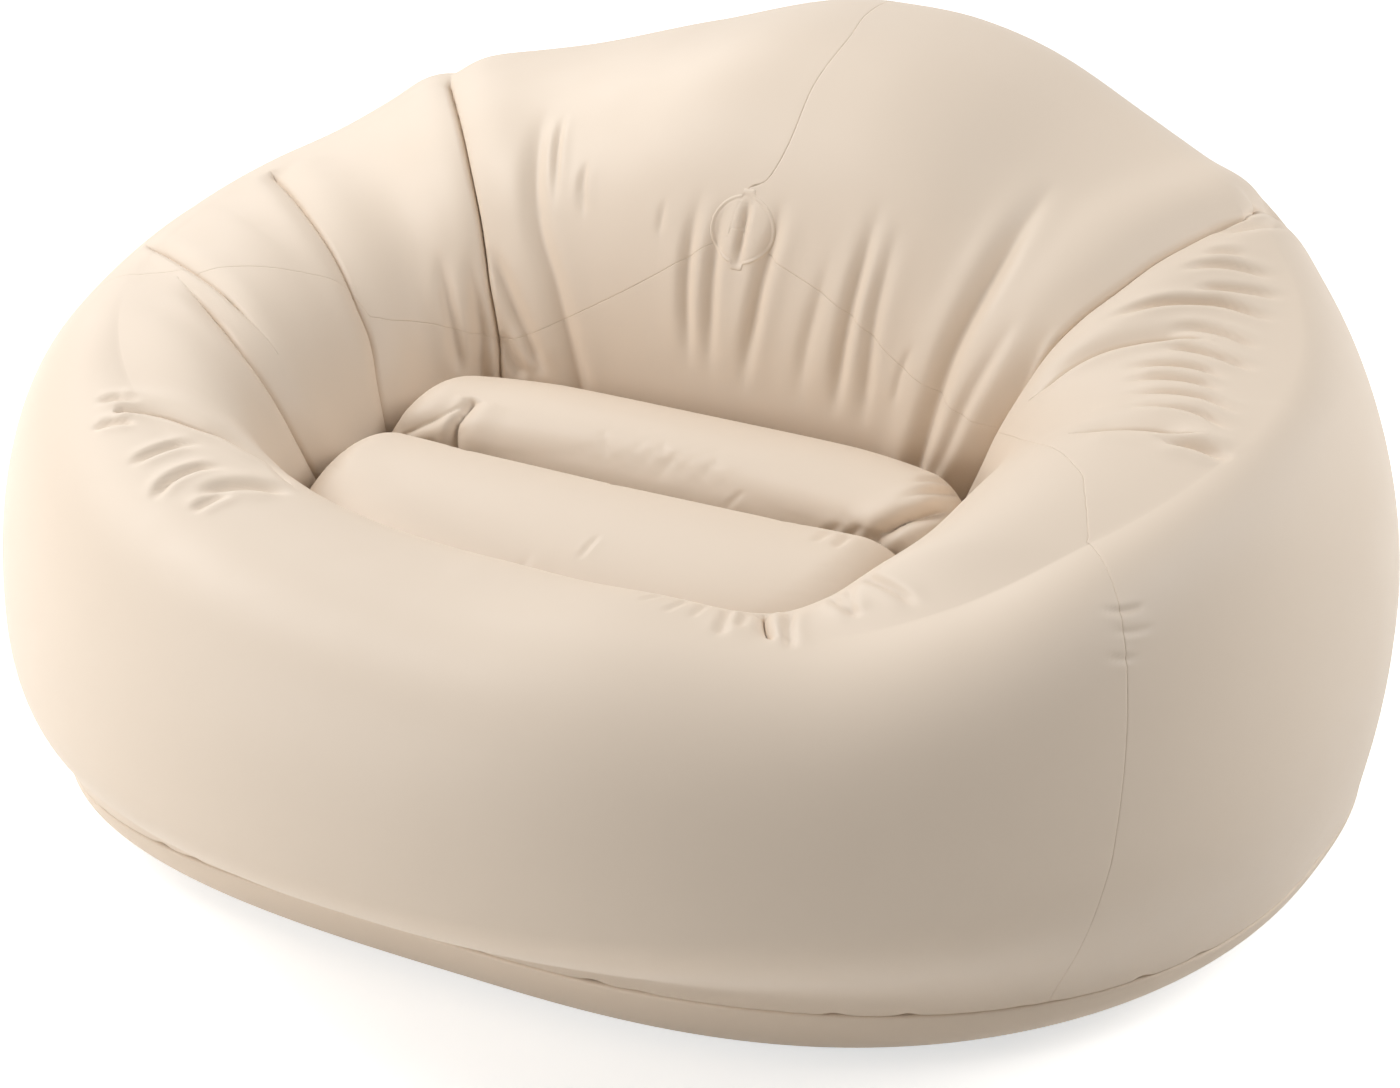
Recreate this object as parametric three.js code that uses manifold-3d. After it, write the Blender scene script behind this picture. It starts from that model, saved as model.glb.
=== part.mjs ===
// Inflatable lounge chair: a ball of welded vinyl whose top is drawn down into a seat by webs.
// Millimetres, +Z up, -Y is the front. The origin is on the floor under the middle of the chair.
import * as THREE from "three";
import { mergeVertices } from "three/addons/utils/BufferGeometryUtils.js";
import Module from "manifold-3d";

const wasm = await Module();
wasm.setup();

// Vinyl sheet, its weld flanges, and the space left between two sheets at a weld
const skinThickness = 0.6;
const webThickness = 0.5;
const weldFlange = 8;
const weldGap = 0.3;

// Flat patch that the chair stands on
const floorHalfWidth = 375;
const floorFront = 330;
const floorBack = 500;
const floorMiddleOffset = 90;

// Weld between the base sheet and the sides
const baseSeamHalfWidth = 632;
const baseSeamFront = 452;
const baseSeamBack = 575;
const baseSeamMiddleOffset = 90;
const baseSeamHeight = 80;

// Belly, the widest outline
const bellyHalfWidth = 685;
const bellyFront = 635;
const bellyBack = 635;
const bellyFrontHeight = 240;
const bellySideHeight = 325;
const bellyBackHeight = 300;

// Crest of the lip, the arms and the back
const crestHalfWidth = 580;
const crestFront = 445;
const crestBack = 375;
const lipHeight = 470;
const armHeight = 572;
const shoulderHeight = 655;
const backHeight = 765;

// Well that the seat lies in, at its foot
const wellHalfWidth = 300;
const wellFront = 325;
const wellBack = 22;
const valleySetback = 115;
const wellFootHeight = 360;

// Creases that the spare skin falls into round the well
const deepCrease = 16;
const armCrease = 12;
const softFold = 7;
const creaseHalfWidth = 30;

// Seat tubes
const tubeRise = 65;
const valleyHeight = 385;
const tubeEndRadius = 75;

// How full the tubes are at their sides: 1 is an ellipse, less is fuller
const tubeSideShare = 0.5;

// Webs that tie the seat to the base, with holes that let the air through
const webEndClearance = 5;
const webFootInset = 45;
const webHoleRadius = 24;
const webHolePitch = 130;
const webHoleHeight = 190;

// Round patch over the point where the three upper seams meet
const patchRadius = 37;
const patchThickness = 0.6;
const patchBeadRadius = 32;
const patchBeadWidth = 3;
const patchFlatRadius = 74;
const patchOffset = 12;

// Valve in the back: welded base, pull-out plug, check flap, snap cap and tether
const valveFlatRadius = 112;
const valveRowRise = 92;
const valveFlangeRadius = 27;
const valveFlangeThickness = 1.2;
const collarRadius = 17;
const collarWall = 2;
const collarDepth = 16;
const collarProud = 3;
const plugClearance = 0.25;
const plugWall = 3;
const plugDepth = 14;
const plugFlangeRadius = 20;
const plugFlangeThickness = 2;
const flapSeatRadius = 8;
const flapSeatThickness = 1.5;
const flapThickness = 1;
const flapOverlap = 2;
const capRadius = 19;
const capThickness = 1.8;
const capSpigotWall = 1.7;
const capSpigotDepth = 3;
const capTabLength = 7;
const capTabWidth = 10;
const hingeReach = 3.5;
const hingeWidth = 8;
const tetherThickness = 1.2;
const tetherRingWidth = 2.6;
const tetherPostWidth = 5;
const valveFaces = 30;

// Levels up the skin: the floor patch's edge, the base seam, the belly, the crest and the well's foot
const floorLevel = 0;
const seamLevel = 1;
const bellyLevel = 2;
const crestLevel = 3;
const footLevel = 4;

// How square each outline's corners are: 1 is an ellipse, less is squarer
const wellCornerShare = 0.45;
const floorOutline = {
  halfWidth: floorHalfWidth,
  front: floorFront,
  back: floorBack,
  middle: floorMiddleOffset,
  frontLeftShare: 0.7,
  frontRightShare: 0.56,
  backCornerShare: 0.9,
};
const baseSeamOutline = {
  halfWidth: baseSeamHalfWidth,
  front: baseSeamFront,
  back: baseSeamBack,
  middle: baseSeamMiddleOffset,
  frontLeftShare: 0.53,
  frontRightShare: 0.86,
  backCornerShare: 0.8,
};
const bellyOutline = {
  halfWidth: bellyHalfWidth,
  front: bellyFront,
  back: bellyBack,
  middle: 0,
  frontLeftShare: 0.9,
  frontRightShare: 0.9,
  backCornerShare: 1,
};
const crestOutline = {
  halfWidth: crestHalfWidth,
  front: crestFront,
  back: crestBack,
  middle: 0,
  frontLeftShare: 0.9,
  frontRightShare: 0.9,
  backCornerShare: 0.9,
};
const wellOutline = {
  halfWidth: wellHalfWidth,
  front: wellFront,
  back: wellBack,
  middle: -valleySetback,
  frontLeftShare: wellCornerShare,
  frontRightShare: wellCornerShare,
  backCornerShare: wellCornerShare,
};

// Heights round the chair, from the front at 0 degrees to the back at 180
const bellyHeights = [
  [0, bellyFrontHeight],
  [90, bellySideHeight],
  [180, bellyBackHeight],
];
const crestHeights = [
  [0, lipHeight],
  [45, THREE.MathUtils.lerp(lipHeight, armHeight, 0.53)],
  [90, armHeight],
  [130, shoulderHeight],
  [155, THREE.MathUtils.lerp(shoulderHeight, backHeight, 0.5)],
  [180, backHeight],
];

// How round each quarter arc is: 1 is an ellipse, less is fuller
const underArcShares = [
  [0, 1.6],
  [90, 1.1],
  [180, 1],
];
const upperArcShares = [
  [0, 0.75],
  [90, 1],
  [180, 1],
];
const wellArcShares = [
  [0, 0.55],
  [90, 0.8],
  [180, 0.7],
];

// Lines that run from the crest down to the well's foot, by their angles at both ends.
// Welds and creases lie on them, and so do columns of the skin's grid.
const valveAngle = 160;
const patchSideAngle = 178.5;
const leftSeam = { crest: -72, foot: -48, low: -62, start: 3, depth: softFold };
const rightSeam = { crest: 60, foot: 52, low: 50, start: 3, depth: 0 };
const leftValleyEnd = { crest: -99, foot: -90, start: 2.95, depth: armCrease };
const rightValleyEnd = { crest: 80, foot: 90, start: 2.95, depth: softFold };
const backLeft = { crest: -180, foot: -180, start: 3, depth: 0 };
const backRight = { crest: 180, foot: 180, start: 3, depth: 0 };
const guides = [
  backLeft,
  { crest: -patchSideAngle, foot: -patchSideAngle, start: 3, depth: 0 },
  { crest: -146, foot: -160, start: 3.1, depth: softFold },
  { crest: -130, foot: -143, start: 2.75, depth: deepCrease },
  leftValleyEnd,
  { crest: -79, foot: -58, start: 2.8, depth: armCrease },
  leftSeam,
  { crest: -38, foot: -36, start: 2.75, depth: armCrease },
  { crest: 0, foot: 0, start: 3, depth: 0 },
  rightSeam,
  rightValleyEnd,
  { crest: 108, foot: 114, start: 2.85, depth: softFold },
  { crest: 131, foot: 124, start: 2.75, depth: deepCrease },
  { crest: 152, foot: 150, start: 3.1, depth: softFold },
  { crest: patchSideAngle, foot: patchSideAngle, start: 3, depth: 0 },
  backRight,
];
const columnPitch = 6.4;
const creaseFade = 0.3;
const flatSpotFadeShare = 1.3;

// How far down the well the upper side seams run, from where they cross the crest to the patch
const seamDropShares = [
  [0, 0],
  [0.1, 0.15],
  [0.2, 0.32],
  [0.35, 0.56],
  [0.5, 0.71],
  [0.7, 0.8],
  [0.85, 0.8],
  [0.95, 0.73],
  [1, 0.64],
];

const vinyl = new THREE.MeshStandardMaterial({ color: 0xe6d6c2, roughness: 0.5, metalness: 0 });
const vinylBase = new THREE.MeshStandardMaterial({ color: 0xb3a48f, roughness: 0.55, metalness: 0 });
const webVinyl = new THREE.MeshStandardMaterial({ color: 0xd8cdbd, roughness: 0.6, metalness: 0 });
const valvePlastic = new THREE.MeshStandardMaterial({ color: 0xd9cab6, roughness: 0.4, metalness: 0 });
const flapRubber = new THREE.MeshStandardMaterial({ color: 0xc9c4ba, roughness: 0.7, metalness: 0 });

// Value at a place along a list of [place, value] stations, level at both ends
function along(stations, place) {
  const last = stations.length - 1;
  const slope = (i) => {
    if (i === 0 || i === last) return 0;
    return (stations[i + 1][1] - stations[i - 1][1]) / (stations[i + 1][0] - stations[i - 1][0]);
  };
  let i = 0;
  while (i < last - 1 && place > stations[i + 1][0]) i += 1;
  const [startPlace, startValue] = stations[i];
  const [endPlace, endValue] = stations[i + 1];
  const span = endPlace - startPlace;
  const u = THREE.MathUtils.clamp((place - startPlace) / span, 0, 1);
  const rise = u * u * (3 - 2 * u);
  const easeIn = u * (1 - u) * (1 - u) * span * slope(i);
  const easeOut = u * u * (u - 1) * span * slope(i + 1);
  return startValue + (endValue - startValue) * rise + easeIn + easeOut;
}

// Angle from the front, folded to 0 at the front and 180 at the back
function fromFront(angle) {
  return Math.abs(THREE.MathUtils.euclideanModulo(angle + 180, 360) - 180);
}

// Point of a plan outline at an angle: a superellipse whose widest place may lie off its middle
function outlinePoint(outline, angle, height) {
  const turn = THREE.MathUtils.degToRad(angle);
  const towardsFront = Math.cos(turn) > 0;
  const frontShare = Math.sin(turn) < 0 ? outline.frontLeftShare : outline.frontRightShare;
  const power = towardsFront ? frontShare : outline.backCornerShare;
  const reach = towardsFront ? -outline.front : outline.back;
  const x = outline.halfWidth * Math.sign(Math.sin(turn)) * Math.abs(Math.sin(turn)) ** power;
  const y = outline.middle + (reach - outline.middle) * Math.abs(Math.cos(turn)) ** power;
  return new THREE.Vector3(x, y, height);
}

// Point between two outlines by a share across and a share up
function between(from, to, across, up) {
  return new THREE.Vector3(
    THREE.MathUtils.lerp(from.x, to.x, across),
    THREE.MathUtils.lerp(from.y, to.y, across),
    THREE.MathUtils.lerp(from.z, to.z, up),
  );
}

// Smooth inflated skin, without creases or flat spots
function roundSkinPoint(angle, level) {
  const place = fromFront(angle);
  const step = Math.min(Math.floor(level), crestLevel);
  const u = level - step;
  const sine = Math.abs(Math.sin((u * Math.PI) / 2));
  const cosine = Math.abs(Math.cos((u * Math.PI) / 2));
  const seam = outlinePoint(baseSeamOutline, angle, baseSeamHeight);
  const belly = outlinePoint(bellyOutline, angle, along(bellyHeights, place));
  const crest = outlinePoint(crestOutline, angle, along(crestHeights, place));
  if (step === floorLevel) {
    return between(outlinePoint(floorOutline, angle, 0), seam, sine, 1 - cosine);
  }
  if (step === seamLevel) {
    return between(seam, belly, sine ** along(underArcShares, place), u);
  }
  if (step === bellyLevel) {
    const power = along(upperArcShares, place);
    return between(belly, crest, 1 - cosine ** power, sine ** power);
  }
  const foot = outlinePoint(wellOutline, angle, wellFootHeight);
  const power = along(wellArcShares, place);
  return between(crest, foot, sine ** power, 1 - cosine ** power);
}

// Outward direction of the smooth skin
function roundSkinNormal(angle, level) {
  const turn = 0.5;
  const lift = 0.02;
  const low = Math.max(level - lift, floorLevel);
  const high = Math.min(level + lift, footLevel);
  const round = roundSkinPoint(angle + turn, level).sub(roundSkinPoint(angle - turn, level));
  const up = roundSkinPoint(angle, high).sub(roundSkinPoint(angle, low));
  return round.cross(up).normalize();
}

// Angle of a guide line: straight down the well, and bending towards its low end outside
function guideAngle(guide, level) {
  if (level > crestLevel) return THREE.MathUtils.lerp(guide.crest, guide.foot, level - crestLevel);
  const drop = Math.min((crestLevel - level) / (crestLevel - seamLevel), 1);
  return THREE.MathUtils.lerp(guide.crest, guide.low ?? guide.crest, drop * drop);
}

// Depth of the creases at a place on the skin
function creaseDepth(angle, level) {
  let depth = 0;
  for (const guide of guides) {
    if (guide.depth === 0 || level <= guide.start) continue;
    const line = roundSkinPoint(guideAngle(guide, level), level);
    const distance = line.distanceTo(roundSkinPoint(angle, level));
    const fadeIn = THREE.MathUtils.smoothstep(level, guide.start, guide.start + creaseFade);
    const fadeOut = THREE.MathUtils.smoothstep(level, footLevel - creaseFade, footLevel);
    const side = Math.max(0, 1 - distance / creaseHalfWidth);
    depth += guide.depth * fadeIn * (1 - fadeOut) * side * side;
  }
  return depth;
}

const valveCentre = roundSkinPoint(valveAngle, bellyLevel);
const valveNormal = roundSkinNormal(valveAngle, bellyLevel).setZ(0).normalize();
const valveTurn = Math.atan2(-valveNormal.x, valveNormal.y);
const patchLevel = crestLevel + seamDropShares[seamDropShares.length - 1][1];
const patchCentre = roundSkinPoint(180, patchLevel).setX(patchOffset);
const patchNormal = roundSkinNormal(180, patchLevel);
const flatSpots = [
  { centre: valveCentre, normal: valveNormal, radius: valveFlatRadius },
  { centre: patchCentre, normal: patchNormal, radius: patchFlatRadius },
];

// Skin with its creases, pressed flat behind the valve and the patch
function skinPoint(angle, level) {
  const point = roundSkinPoint(angle, level);
  const depth = creaseDepth(angle, level);
  if (depth > 0) point.addScaledVector(roundSkinNormal(angle, level), -depth);
  for (const spot of flatSpots) {
    const offset = point.clone().sub(spot.centre);
    const reach = spot.radius * flatSpotFadeShare;
    const blend = THREE.MathUtils.smoothstep(offset.length(), spot.radius, reach);
    point.addScaledVector(spot.normal, -offset.dot(spot.normal) * (1 - blend));
  }
  return point;
}

// Columns of the grid: each lies on a guide or shares out the space between two
function makeColumns() {
  const columns = [];
  for (let i = 0; i < guides.length - 1; i += 1) {
    const count = Math.max(1, Math.round((guides[i + 1].crest - guides[i].crest) / columnPitch));
    for (let k = 0; k < count; k += 1) {
      columns.push({ from: guides[i], to: guides[i + 1], share: k / count });
    }
  }
  columns.push({ from: backRight, to: backRight, share: 0 });
  return columns;
}
const columns = makeColumns();
const lastColumn = columns.length - 1;

function columnAngle(column, level) {
  const { from, to, share } = columns[column];
  return THREE.MathUtils.lerp(guideAngle(from, level), guideAngle(to, level), share);
}

function columnOn(guide) {
  return columns.findIndex((column) => column.from === guide && column.share === 0);
}
const leftSeamColumn = columnOn(leftSeam);
const rightSeamColumn = columnOn(rightSeam);

// Level of the upper side seams on a column, or the crest where the front sheet crosses it
function upperSeamLevel(column) {
  const angle = columnAngle(column, crestLevel);
  const start = angle < 0 ? leftSeam.crest : rightSeam.crest;
  const share = (angle - start) / (Math.sign(angle) * backRight.crest - start);
  if (column >= leftSeamColumn && column <= rightSeamColumn) return crestLevel;
  return crestLevel + along(seamDropShares, share);
}

// Level at which the skin over the valve has risen by a height above the belly
function levelAboveValve(rise) {
  const crestRise = along(crestHeights, valveAngle) - along(bellyHeights, valveAngle);
  const power = along(upperArcShares, valveAngle);
  return bellyLevel + Math.asin((rise / crestRise) ** (1 / power)) / (Math.PI / 2);
}

// Rows of the grid: outside, well wall above the seams, well wall below them, foot flange
const valveRowLevel = levelAboveValve(valveRowRise);
const outsideLevels = [1, 1.25, 1.55, 1.8, 2, valveRowLevel, 2.38, 2.62, 2.82, crestLevel];
const rowsAboveSeam = 4;
const rowsBelowSeam = 3;
const crestRow = outsideLevels.length - 1;
const upperSeamRow = crestRow + rowsAboveSeam;
const footRow = upperSeamRow + rowsBelowSeam;
const flangeRow = footRow + 1;

function rowLevel(column, row) {
  const seam = upperSeamLevel(column);
  if (row <= crestRow) return outsideLevels[row];
  if (row <= upperSeamRow) {
    return THREE.MathUtils.lerp(crestLevel, seam, (row - crestRow) / rowsAboveSeam);
  }
  return THREE.MathUtils.lerp(seam, footLevel, (row - upperSeamRow) / rowsBelowSeam);
}

// One corner of the grid by name. The back's two end columns are one, and where the front sheet
// crosses the crest the rows above the seam fall together.
function cornerName(column, row) {
  const place = column === lastColumn ? 0 : column;
  const seamless = upperSeamLevel(column) === crestLevel;
  return `${place}:${seamless && row > crestRow && row <= upperSeamRow ? crestRow : row}`;
}

const skinCorners = new Map();
function skinCorner(column, row) {
  const name = cornerName(column, row);
  if (!skinCorners.has(name)) {
    const level = Math.min(rowLevel(column, Math.min(row, footRow)), footLevel);
    const point = skinPoint(columnAngle(column, level), level);
    if (row === flangeRow) point.z -= weldFlange;
    skinCorners.set(name, { point, normal: new THREE.Vector3() });
  }
  return name;
}

// Faces of the grid between two columns and two rows
function gridFaces(firstColumn, endColumn, firstRow, endRow) {
  const faces = [];
  for (let column = firstColumn; column < endColumn; column += 1) {
    for (let row = firstRow; row < endRow; row += 1) {
      const names = [
        skinCorner(column, row),
        skinCorner(column + 1, row),
        skinCorner(column + 1, row + 1),
        skinCorner(column, row + 1),
      ];
      const face = names.filter((name, i) => name !== names[(i + 1) % names.length]);
      if (face.length > 2) faces.push(face);
    }
  }
  return faces;
}

// Direction of a face with three or four corners
function faceNormal(face, corners) {
  const [a, b, c, d] = face.map((name) => corners.get(name).point);
  const first = (d ? c : b).clone().sub(a);
  const second = (d ?? c).clone().sub(d ? b : a);
  return first.cross(second);
}

function setNormals(faces, corners) {
  for (const face of faces) {
    const direction = faceNormal(face, corners);
    for (const name of face) corners.get(name).normal.add(direction);
  }
  for (const corner of corners.values()) corner.normal.normalize();
}

// Free edges of a sheet, as a map from each corner to the next one round the edge
function freeEdges(faces) {
  const directed = new Set();
  for (const face of faces) {
    face.forEach((name, i) => directed.add(`${name}>${face[(i + 1) % face.length]}`));
  }
  const next = new Map();
  for (const edge of directed) {
    const [start, end] = edge.split(">");
    if (!directed.has(`${end}>${start}`)) next.set(start, end);
  }
  return next;
}

// Direction that lies in the sheet and points from its free edge to its middle
function edgeInset(corner, before, after) {
  const sides = [corner.point.clone().sub(before.point), after.point.clone().sub(corner.point)];
  const insets = sides.map((side) => corner.normal.clone().cross(side).normalize());
  const sum = insets[0].clone().add(insets[1]);
  return sum.divideScalar(Math.max(1 + insets[0].dot(insets[1]), 0.5));
}

// Closed solid of a sheet. An edge is cut square, or folded in as a weld flange where the
// corner has a fold direction.
function thicken(faces, corners, thickness) {
  const positions = [];
  const index = [];
  const addPoint = (point) => positions.push(point.x, point.y, point.z) / 3 - 1;
  const addFace = (ids) => {
    for (let i = 2; i < ids.length; i += 1) index.push(ids[0], ids[i - 1], ids[i]);
  };
  const next = freeEdges(faces);
  const previous = new Map([...next].map(([start, end]) => [end, start]));
  const made = new Map();
  for (const name of new Set(faces.flat())) {
    const corner = corners.get(name);
    const inside = corner.point.clone().addScaledVector(corner.normal, -thickness);
    const ids = {};
    if (next.has(name) && corner.fold) {
      const inset = edgeInset(corner, corners.get(previous.get(name)), corners.get(next.get(name)));
      const near = corner.point.clone().addScaledVector(inset, weldGap / 2);
      const far = corner.point.clone().addScaledVector(inset, weldGap / 2 + thickness);
      ids.outer = addPoint(near);
      ids.outerTip = addPoint(near.clone().addScaledVector(corner.fold, weldFlange));
      ids.innerTip = addPoint(far.clone().addScaledVector(corner.fold, weldFlange));
      ids.inner = addPoint(inside.addScaledVector(inset, weldGap / 2 + thickness));
    } else {
      ids.outer = addPoint(corner.point);
      ids.inner = addPoint(inside);
    }
    made.set(name, ids);
  }
  for (const face of faces) {
    addFace(face.map((name) => made.get(name).outer));
    const inner = face.map((name) => made.get(name).inner);
    for (let i = 2; i < inner.length; i += 1) index.push(inner[0], inner[i], inner[i - 1]);
  }
  for (const [start, end] of next) {
    const a = made.get(start);
    const b = made.get(end);
    const outline = ["outer", "outerTip", "innerTip", "inner"].filter((part) => part in a && part in b);
    for (let i = 1; i < outline.length; i += 1) {
      const near = outline[i - 1];
      const far = outline[i];
      // Two sheets welded along one line split each face of it the same way, so they stay clear
      if (start < end) addFace([b[near], a[near], a[far], b[far]]);
      else addFace([a[near], a[far], b[far], b[near]]);
    }
  }
  const geometry = new THREE.BufferGeometry();
  geometry.setAttribute("position", new THREE.Float32BufferAttribute(positions, 3));
  geometry.setIndex(index);
  return geometry;
}

// Cuts one geometry from another
function toSolid(geometry) {
  const bare = new THREE.BufferGeometry();
  bare.setAttribute("position", geometry.getAttribute("position"));
  bare.setIndex(geometry.getIndex());
  const merged = mergeVertices(bare, 1e-4);
  const mesh = new wasm.Mesh({
    numProp: 3,
    vertProperties: new Float32Array(merged.getAttribute("position").array),
    triVerts: new Uint32Array(merged.getIndex().array),
  });
  return new wasm.Manifold(mesh);
}

function toGeometry(solid) {
  const mesh = solid.getMesh();
  const geometry = new THREE.BufferGeometry();
  geometry.setAttribute("position", new THREE.BufferAttribute(mesh.vertProperties, 3));
  geometry.setIndex(new THREE.BufferAttribute(mesh.triVerts, 1));
  return geometry;
}

function cut(geometry, tools) {
  return toGeometry(tools.reduce((solid, tool) => solid.subtract(toSolid(tool)), toSolid(geometry)));
}

function join(geometries) {
  return toGeometry(geometries.map(toSolid).reduce((solid, other) => solid.add(other)));
}

const chair = new THREE.Group();
chair.name = "inflatable_chair";
function addPiece(parent, name, geometry, material) {
  const piece = new THREE.Mesh(geometry, material);
  piece.name = name;
  parent.add(piece);
  return piece;
}

// Upper skin: three sheets cut like the gores of a ball
const frontOutside = gridFaces(leftSeamColumn, rightSeamColumn, 0, crestRow);
const wellBand = gridFaces(0, lastColumn, upperSeamRow, flangeRow);
const leftBack = gridFaces(0, leftSeamColumn, 0, upperSeamRow);
const rightBack = gridFaces(rightSeamColumn, lastColumn, 0, upperSeamRow);
setNormals([...frontOutside, ...wellBand, ...leftBack, ...rightBack], skinCorners);

// Base sheet: a flat patch on the floor whose rim turns up to the base seam
const baseLevels = [floorLevel, 0.4, 0.75, seamLevel];
const baseCorners = new Map();
function baseCorner(column, row) {
  const name = `${column === lastColumn ? 0 : column}:${row}`;
  if (!baseCorners.has(name)) {
    const point = skinPoint(columnAngle(column, seamLevel), Math.min(baseLevels[row], 1 - 1e-9));
    baseCorners.set(name, { point, normal: new THREE.Vector3() });
  }
  return name;
}
const floorCentre = "centre";
baseCorners.set(floorCentre, {
  point: new THREE.Vector3(0, floorMiddleOffset, 0),
  normal: new THREE.Vector3(),
});
const baseFaces = [];
for (let column = 0; column < lastColumn; column += 1) {
  baseFaces.push([floorCentre, baseCorner(column + 1, 0), baseCorner(column, 0)]);
  for (let row = 0; row < baseLevels.length - 1; row += 1) {
    baseFaces.push([
      baseCorner(column, row),
      baseCorner(column + 1, row),
      baseCorner(column + 1, row + 1),
      baseCorner(column, row + 1),
    ]);
  }
}
setNormals(baseFaces, baseCorners);

// Weld flanges fold inwards, at the base seam halfway between its two sheets
for (const corner of skinCorners.values()) corner.fold = corner.normal.clone().negate();
for (let column = 0; column < lastColumn; column += 1) {
  const side = skinCorners.get(skinCorner(column, 0));
  const base = baseCorners.get(baseCorner(column, baseLevels.length - 1));
  side.fold = side.normal.clone().add(base.normal).normalize().negate();
  base.fold = side.fold;
  skinCorners.get(skinCorner(column, flangeRow)).fold = undefined;
}

const valveHole = new THREE.CylinderGeometry(
  collarRadius + weldGap,
  collarRadius + weldGap,
  valveFlangeRadius,
  valveFaces,
)
  .rotateZ(valveTurn)
  .translate(valveCentre.x, valveCentre.y, valveCentre.z);

addPiece(chair, "base_panel", thicken(baseFaces, baseCorners, skinThickness), vinylBase);
const frontSkin = thicken([...frontOutside, ...wellBand], skinCorners, skinThickness);
addPiece(chair, "front_panel", frontSkin, vinyl);
addPiece(chair, "left_back_panel", thicken(leftBack, skinCorners, skinThickness), vinyl);
const rightBackSkin = cut(thicken(rightBack, skinCorners, skinThickness), [valveHole]);
addPiece(chair, "right_back_panel", rightBackSkin, vinyl);

// Seat tubes: arched sheets from the well's foot to the valley between them
function endRounding(x) {
  const past = Math.max(0, Math.abs(x) - (wellHalfWidth - tubeEndRadius)) / tubeEndRadius;
  return Math.sqrt(Math.max(0, 1 - past * past));
}

const tubeRows = 8;
function seatTube(firstColumn, endColumn, side) {
  const corners = new Map();
  const valleyY = -valleySetback + (side * weldGap) / 2;
  const corner = (column, row) => {
    const isEnd = column === firstColumn || column === endColumn;
    const flanged = row < 0 || row > tubeRows;
    const name = isEnd ? `${column}:${flanged ? "flange" : "edge"}` : `${column}:${row}`;
    if (!corners.has(name)) {
      const place = column % lastColumn;
      const edge = outlinePoint(wellOutline, columnAngle(place, footLevel), wellFootHeight);
      const x = edge.x * (1 - weldGap / wellHalfWidth);
      const edgeY = isEnd ? valleyY : edge.y - side * weldGap;
      const full = endRounding(x);
      const arc = (THREE.MathUtils.clamp(row, 0, tubeRows) / tubeRows) * Math.PI;
      const across = isEnd ? 0 : (1 - Math.cos(arc)) / 2;
      const valleyZ = THREE.MathUtils.lerp(wellFootHeight, valleyHeight, full);
      const crown = isEnd ? 0 : tubeRise * full * Math.sin(arc) ** tubeSideShare;
      const point = new THREE.Vector3(
        x,
        THREE.MathUtils.lerp(edgeY, valleyY, across),
        THREE.MathUtils.lerp(wellFootHeight, valleyZ, across) + crown,
      );
      if (flanged) point.z -= weldFlange;
      corners.set(name, { point, normal: new THREE.Vector3() });
    }
    return name;
  };
  const faces = [];
  for (let column = firstColumn; column < endColumn; column += 1) {
    for (let row = -1; row <= tubeRows; row += 1) {
      const names = [
        corner(column, row),
        corner(column + 1, row),
        corner(column + 1, row + 1),
        corner(column, row + 1),
      ];
      const face = names.filter((name, i) => name !== names[(i + 1) % names.length]);
      if (face.length > 2) faces.push(face);
    }
  }
  setNormals(faces, corners);
  return thicken(faces, corners, skinThickness);
}

const leftEndColumn = columnOn(leftValleyEnd);
const rightEndColumn = columnOn(rightValleyEnd);
addPiece(chair, "front_seat_tube", seatTube(leftEndColumn, rightEndColumn, -1), vinyl);
addPiece(chair, "rear_seat_tube", seatTube(rightEndColumn, leftEndColumn + lastColumn, 1), vinyl);

// Web: a ruled sheet with air holes, from a line under the seat to a line on the base
const webHalfLength = wellHalfWidth - tubeEndRadius - webEndClearance;
const webStations = 8;
const webHoleFaces = 24;
function web(topY, topZ, footY) {
  const corners = new Map();
  const corner = (station, row) => {
    const name = `${station}:${row}`;
    const x = THREE.MathUtils.lerp(-webHalfLength, webHalfLength, station / webStations);
    const top = new THREE.Vector3(x, topY(x), topZ);
    const foot = new THREE.Vector3(x, footY(x), skinThickness + weldGap);
    corners.set(name, { point: row ? top : foot, normal: new THREE.Vector3() });
    return name;
  };
  const faces = [];
  for (let station = 0; station < webStations; station += 1) {
    faces.push([
      corner(station, 0),
      corner(station + 1, 0),
      corner(station + 1, 1),
      corner(station, 1),
    ]);
  }
  setNormals(faces, corners);
  for (const { point, normal } of corners.values()) {
    point.addScaledVector(normal, webThickness / 2);
  }
  const holes = [-1, 0, 1].map((place) =>
    new THREE.CylinderGeometry(webHoleRadius, webHoleRadius, wellHalfWidth, webHoleFaces).translate(
      place * webHolePitch,
      topY(0),
      webHoleHeight,
    ),
  );
  return cut(thicken(faces, corners, webThickness), holes);
}

// Where the well's foot runs across the chair at a distance from its middle line
function wellEdgeY(x, reach) {
  const spread = Math.abs(x / wellHalfWidth) ** (2 / wellCornerShare);
  const share = Math.sqrt(1 - spread) ** wellCornerShare;
  return THREE.MathUtils.lerp(wellOutline.middle, reach, share);
}
const footWebTop = wellFootHeight - weldFlange - weldGap;
const valleyWebTop = valleyHeight - weldFlange - weldGap;
const frontEdge = (x) => wellEdgeY(x, -wellFront);
const valleyLine = () => -valleySetback;
const rearEdge = (x) => wellEdgeY(x, wellBack);
const frontWeb = web(frontEdge, footWebTop, () => webFootInset - floorFront);
const middleWeb = web(valleyLine, valleyWebTop, valleyLine);
const rearWeb = web(rearEdge, footWebTop, rearEdge);
addPiece(chair, "front_web", frontWeb, webVinyl);
addPiece(chair, "middle_web", middleWeb, webVinyl);
addPiece(chair, "rear_web", rearWeb, webVinyl);

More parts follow.
